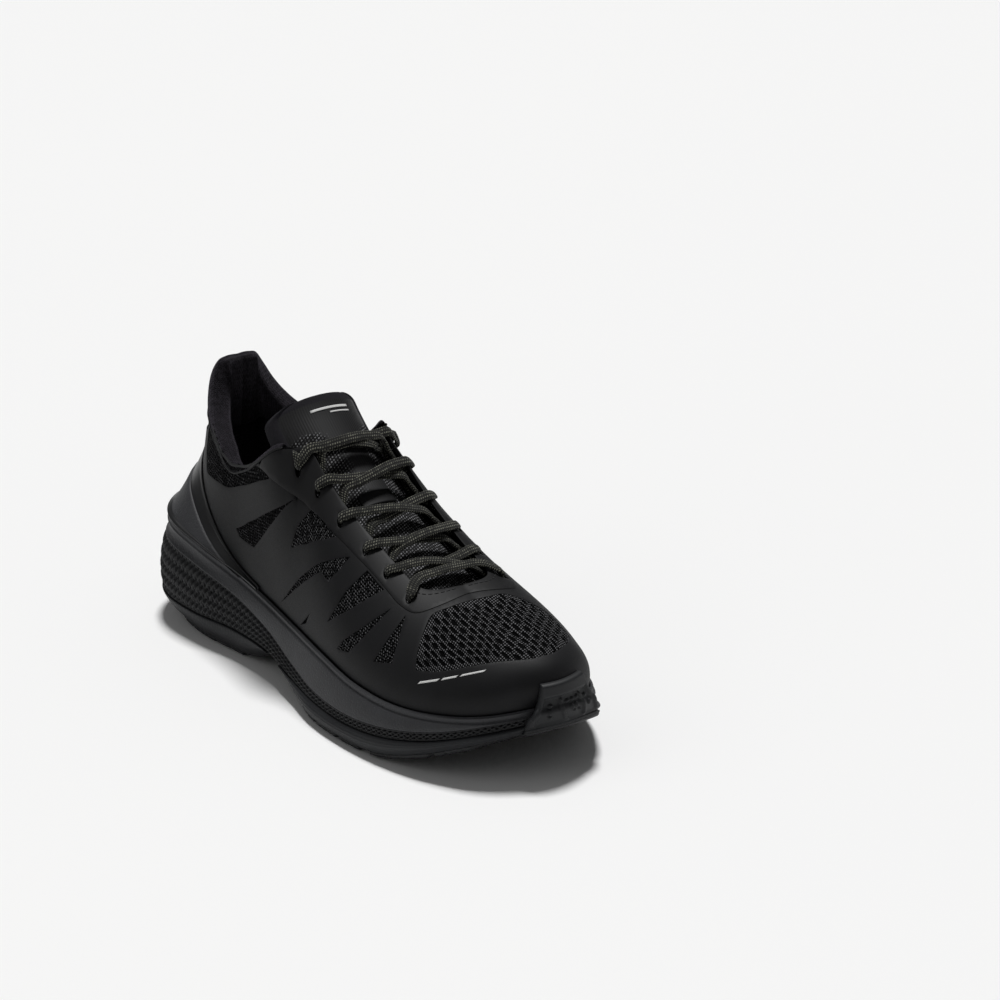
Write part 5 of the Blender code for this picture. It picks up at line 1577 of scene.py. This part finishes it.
def strand(m, lift):
    """One half of the main lace, from the front eyelet zigzag up to the last one."""
    pts = []
    for i in range(5, 0, -1):
        pts += plunge(i, m)[(3 if i == 5 else 0):]
        pts += under_stay_run(i, m)
        pts += crossing(i, m, lift, 0.7 * math.sin(i * 2.3 + lift))
        m = not m
    s, v = EYELETS[0]
    return pts + plunge(0, m) + [spot(s + 0.1, v - 0.12, -3.0, m, 0.5),
                                 spot(s + 0.15, v - 0.25, -3.1, m, 0.5)]


def lace(name, pts):
    """Flat lace through spots."""
    p, n, w, d = (np.array([q[k] for q in pts]) for k in range(4))
    t = lengths(p)
    at = np.linspace(0, t[-1], int(t[-1] / LACE_PITCH))
    m = smooth(np.concatenate([t[:, None], p, n, w[:, None], d], 1), at)
    p, n, w, d = m[:, :3], m[:, 3:6], m[:, 6], m[:, 7:10]
    tan = np.gradient(p, axis=0)
    tan /= np.linalg.norm(tan, axis=1, keepdims=True)
    d = d - tan * (d * tan).sum(1, keepdims=True)
    d /= np.linalg.norm(d, axis=1, keepdims=True)
    up = np.cross(tan, d)
    a = 2 * math.pi * np.arange(LACE_SIDES) / LACE_SIDES
    ca = np.sign(np.cos(a)) * np.abs(np.cos(a)) ** 0.75
    sa = np.sign(np.sin(a)) * np.abs(np.sin(a)) ** 0.85
    ripple = 1 + 0.035 * np.sin(at * 2 * math.pi / 2.3)
    rows = (p[:, None] + d[:, None] * (LACE_W / 2 * w * ripple)[:, None, None] * ca[None, :, None]
            + up[:, None] * (LACE_T / 2 * (1 + 0.35 * (1 - w)))[:, None, None] * sa[None, :, None])
    return sheet(name, rows, LACE, "lace_cord", close_cols=True, caps=True)


first, second = strand(False, 0.6), strand(True, 3.0)
left, right = plunge(5, False)[:3], plunge(5, True)[:3]
s6, v6 = EYELETS[5]
ends = [[spot(s6, v6 + 0.05, STAY_TOP + 1.7, m, 1.0), spot(s6, v6 + 0.12, STAY_TOP + 1.5, m, 1.0)]
        for m in (False, True)]
bar = left[::-1] + ends[0]
(pa, na), (pb, nb) = ends[0][1][:2], ends[1][1][:2]
for t in (0.3, 0.5, 0.7):
    q = pa * (1 - t) + pb * t
    n = na * (1 - t) + nb * t
    n = n / np.linalg.norm(n)
    back_off = np.array([-1.5 * math.sin(math.pi * t), 0, 0])
    bar.append((q + n * math.sin(math.pi * t) + back_off, n, 1.0, left[0][3]))
bar += ends[1][::-1] + right
main_lace = lace("shoelace_main", first[::-1] + bar + second)
flex(main_lace, "shoelace")

# Top strand over the tongue and the loop standing at the medial side
s1, v1 = EYELETS[0]
start = plunge(0, False)


def on_tongue(t, y, off):
    """Lace spot lying on the tongue."""
    p = tongue_point(t, y, off)
    n = tongue_point(t, y, off + 1.0) - p
    d = tongue_point(t + 0.02, y, off) - p
    return p, n, 1.0, -d / np.linalg.norm(d)


top_strand = [start[2], start[1], spot(s1, v1 + 0.035, STAY_TOP + 1.6, False, 0.85)]
top_strand += [on_tongue(4.62 - 0.0052 * (y + 24), y, 1.5) for y in (-21, -15, -9, -3, 3, 9, 15)]
base_pt, n_b = on_tongue(4.3, 17.0, 1.6)[:2]
# Standing loop: steps from its foot, mm
LOOP = [(2.0, 1.5, 1.5), (1.5, 3.0, 5.0), (-2.0, 3.6, 8.0), (-6.5, 3.6, 8.3), (-9.5, 3.2, 5.0),
        (-9.0, 3.0, 1.4), (-5.0, 4.0, -1.0)]
loop_pts = [(base_pt + np.array(q), n_b, 0.95, np.array([0.25, 0.95, 0.1])) for q in LOOP]
tail = [spot(s1 - 0.01, v1 + 0.04, STAY_TOP + 1.8, True, 0.85), spot(s1, v1, STAY_TOP + 0.6, True, 0.6),
        spot(s1, v1, -0.9, True, 0.46)]
rear(lace("shoelace_top", top_strand + loop_pts + tail))

# ---------------------------------------------------------------- stitches and prints
STITCH_LENGTH, STITCH_GAP, STITCH_R = 2.0, 1.0, 0.26


def stitch_line(name, path, normals):
    """Row of short sewn stitches along a path, as one mesh."""
    p, n = np.asarray(path, float), np.asarray(normals, float)
    t = lengths(p)
    co, faces = [], []
    sides, rings = 6, 5
    pitch = STITCH_LENGTH + STITCH_GAP
    for k in range(int(t[-1] / pitch)):
        at = k * pitch + np.linspace(0, STITCH_LENGTH, rings)
        q = np.stack([np.interp(at, t, p[:, c]) for c in range(3)], 1)
        m = np.stack([np.interp(at, t, n[:, c]) for c in range(3)], 1)
        tan = np.gradient(q, axis=0)
        tan /= np.linalg.norm(tan, axis=1, keepdims=True)
        side = np.cross(tan, m)
        arc_up = np.sin(np.linspace(0.12, 0.88, rings) * math.pi)
        first_i = len(co)
        for r in range(rings):
            for j in range(sides):
                a = 2 * math.pi * j / sides
                rr = STITCH_R * (0.45 + 0.55 * arc_up[r])
                co.append(q[r] + side[r] * rr * math.cos(a) + m[r] * (rr * math.sin(a) + 0.12 * arc_up[r]))
        for r in range(rings - 1):
            for j in range(sides):
                a0 = first_i + r * sides + j
                a1 = first_i + r * sides + (j + 1) % sides
                faces.append([a0, a1, a1 + sides, a0 + sides])
        faces.append([first_i + j for j in range(sides)][::-1])
        faces.append([first_i + (rings - 1) * sides + j for j in range(sides)])
    return piece(name, np.array(co), faces, STITCH, "lace_cord")


def on_surface(points, off):
    """Positions and normals of (u, v) points, off mm above the surface."""
    pos = [surface_point(u, v, off) for u, v in points]
    return pos, [surface_point(u, v, off + 1.0) - p for (u, v), p in zip(points, pos)]


front_edge = [(a, b - 0.035) for a, b in throat if a > 8.6]
flex(stitch_line("throat_stitches_lateral", *on_surface(lat(front_edge), 0.75)))
flex(stitch_line("throat_stitches_medial", *on_surface(med(front_edge[::-1]), 0.75)))


def bar_edge(s, lift):
    """Long edge of the toe bars, which rise a little along the shoe."""
    return 0.205 + (s - 9.5) * 0.145 + lift


# Plain reflective bars: generic, no lettering
TOE_PRINT_T, TONGUE_PRINT_T = 0.12, 0.16
for k, (sa, sb) in enumerate(((9.55, 9.95), (10.03, 10.33), (10.41, 10.86))):
    bar_poly = [(sa, bar_edge(sa, -0.006)), (sb, bar_edge(sb, -0.006)), (sb + 0.05, bar_edge(sb, 0.016)),
                (sa + 0.05, bar_edge(sa, 0.016))]
    ob = patch(f"toe_bar_{k + 1}", lat(bar_poly), [], FILM_IN + FILM_T, PRINT, "bonded_film", nu=720, nv=240,
               clear=0.2)
    flex(thicken(ob, TOE_PRINT_T))


def tongue_bar(name, t0, t1, y0, y1):
    """Thin reflective bar on the tongue film."""
    ts = np.linspace(t0, t1, 6)
    ys = np.linspace(y0, y1, 14)
    rows = [[tongue_point(t, y, 0.02) for y in ys] for t in ts]
    ob = sheet(name, rows, PRINT, "lining_knit", flip=False)
    if ob.data.polygons[30].normal.z < 0:
        ob.data.flip_normals()
    return thicken(ob, TONGUE_PRINT_T)


for k, (t0, t1, y0, y1) in enumerate(((5.27, 5.36, -8.5, 12.5), (5.13, 5.17, 1.0, 12.5))):
    ob = tongue_bar(f"tongue_bar_{k + 1}", t0, t1, y0, y1)
    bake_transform(ob)

# ---------------------------------------------------------------- stiffeners from the frame
for node in ("heel_counter", "toe_puff"):
    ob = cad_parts[node]
    ob.data.materials.clear()
    ob.data.materials.append(BOARD)

# ---------------------------------------------------------------- studio
bm = bmesh.new()
bmesh.ops.create_grid(bm, x_segments=2, y_segments=2, size=30)
me = bpy.data.meshes.new("floor")
bm.to_mesh(me)
bm.free()
floor = bpy.data.objects.new("floor", me)
SCENE.collection.objects.link(floor)
floor.location.z = -0.0004
me.materials.append(floor_material())

world = bpy.data.worlds.new("studio")
SCENE.world = world
world.use_nodes = True
bg = world.node_tree.nodes["Background"]
bg.inputs[0].default_value = (1.0, 1.0, 1.0, 1)
bg.inputs[1].default_value = 0.12
SCENE.view_settings.view_transform = "Standard"


def sun(name, az, el, strength, angle):
    """Soft sun from azimuth az (0 from -Y, 90 from +X) and elevation el, degrees."""
    d = bpy.data.lights.new(name, "SUN")
    d.energy = strength
    d.angle = math.radians(angle)
    o = bpy.data.objects.new(name, d)
    a, e = math.radians(az), math.radians(el)
    out = Vector((math.sin(a) * math.cos(e), -math.cos(a) * math.cos(e), math.sin(e)))
    o.rotation_mode = "QUATERNION"
    o.rotation_quaternion = out.to_track_quat("Z", "Y")
    SCENE.collection.objects.link(o)


sun("key", -130, 73, 2.95, 12)
sun("fill", -5, 40, 0.2, 50)

# Camera at the photograph's angle: degrees, and the lens and distances in mm
CAM_AZ, CAM_EL, CAM_ROLL = 55.97, 21.2, -0.13
CAM_LENS, CAM_DIST = 214.41, 3082.64
CAM_AIM = np.array([-165.45, 178.81, 0.0])
az, el, roll = (math.radians(a) for a in (CAM_AZ, CAM_EL, CAM_ROLL))
view_back = np.array([math.sin(az) * math.cos(el), -math.cos(az) * math.cos(el), math.sin(el)])
cam = bpy.data.cameras.new("camera")
cam.sensor_width = 36.0
cam.lens = CAM_LENS
cam.clip_end = 100
cam_ob = bpy.data.objects.new("camera", cam)
SCENE.collection.objects.link(cam_ob)
cam_ob.location = Vector(place(CAM_AIM + view_back * CAM_DIST))
cam_ob.rotation_mode = "QUATERNION"
right_v = Vector((math.cos(az), math.sin(az), 0))
up_v = Vector(view_back).cross(right_v)
rx = right_v * math.cos(roll) + up_v * math.sin(roll)
ry = Vector(view_back).cross(rx)
rot = np.array([rx, ry, view_back]).T
cam_ob.rotation_quaternion = Matrix(rot.tolist()).to_quaternion()
SCENE.camera = cam_ob
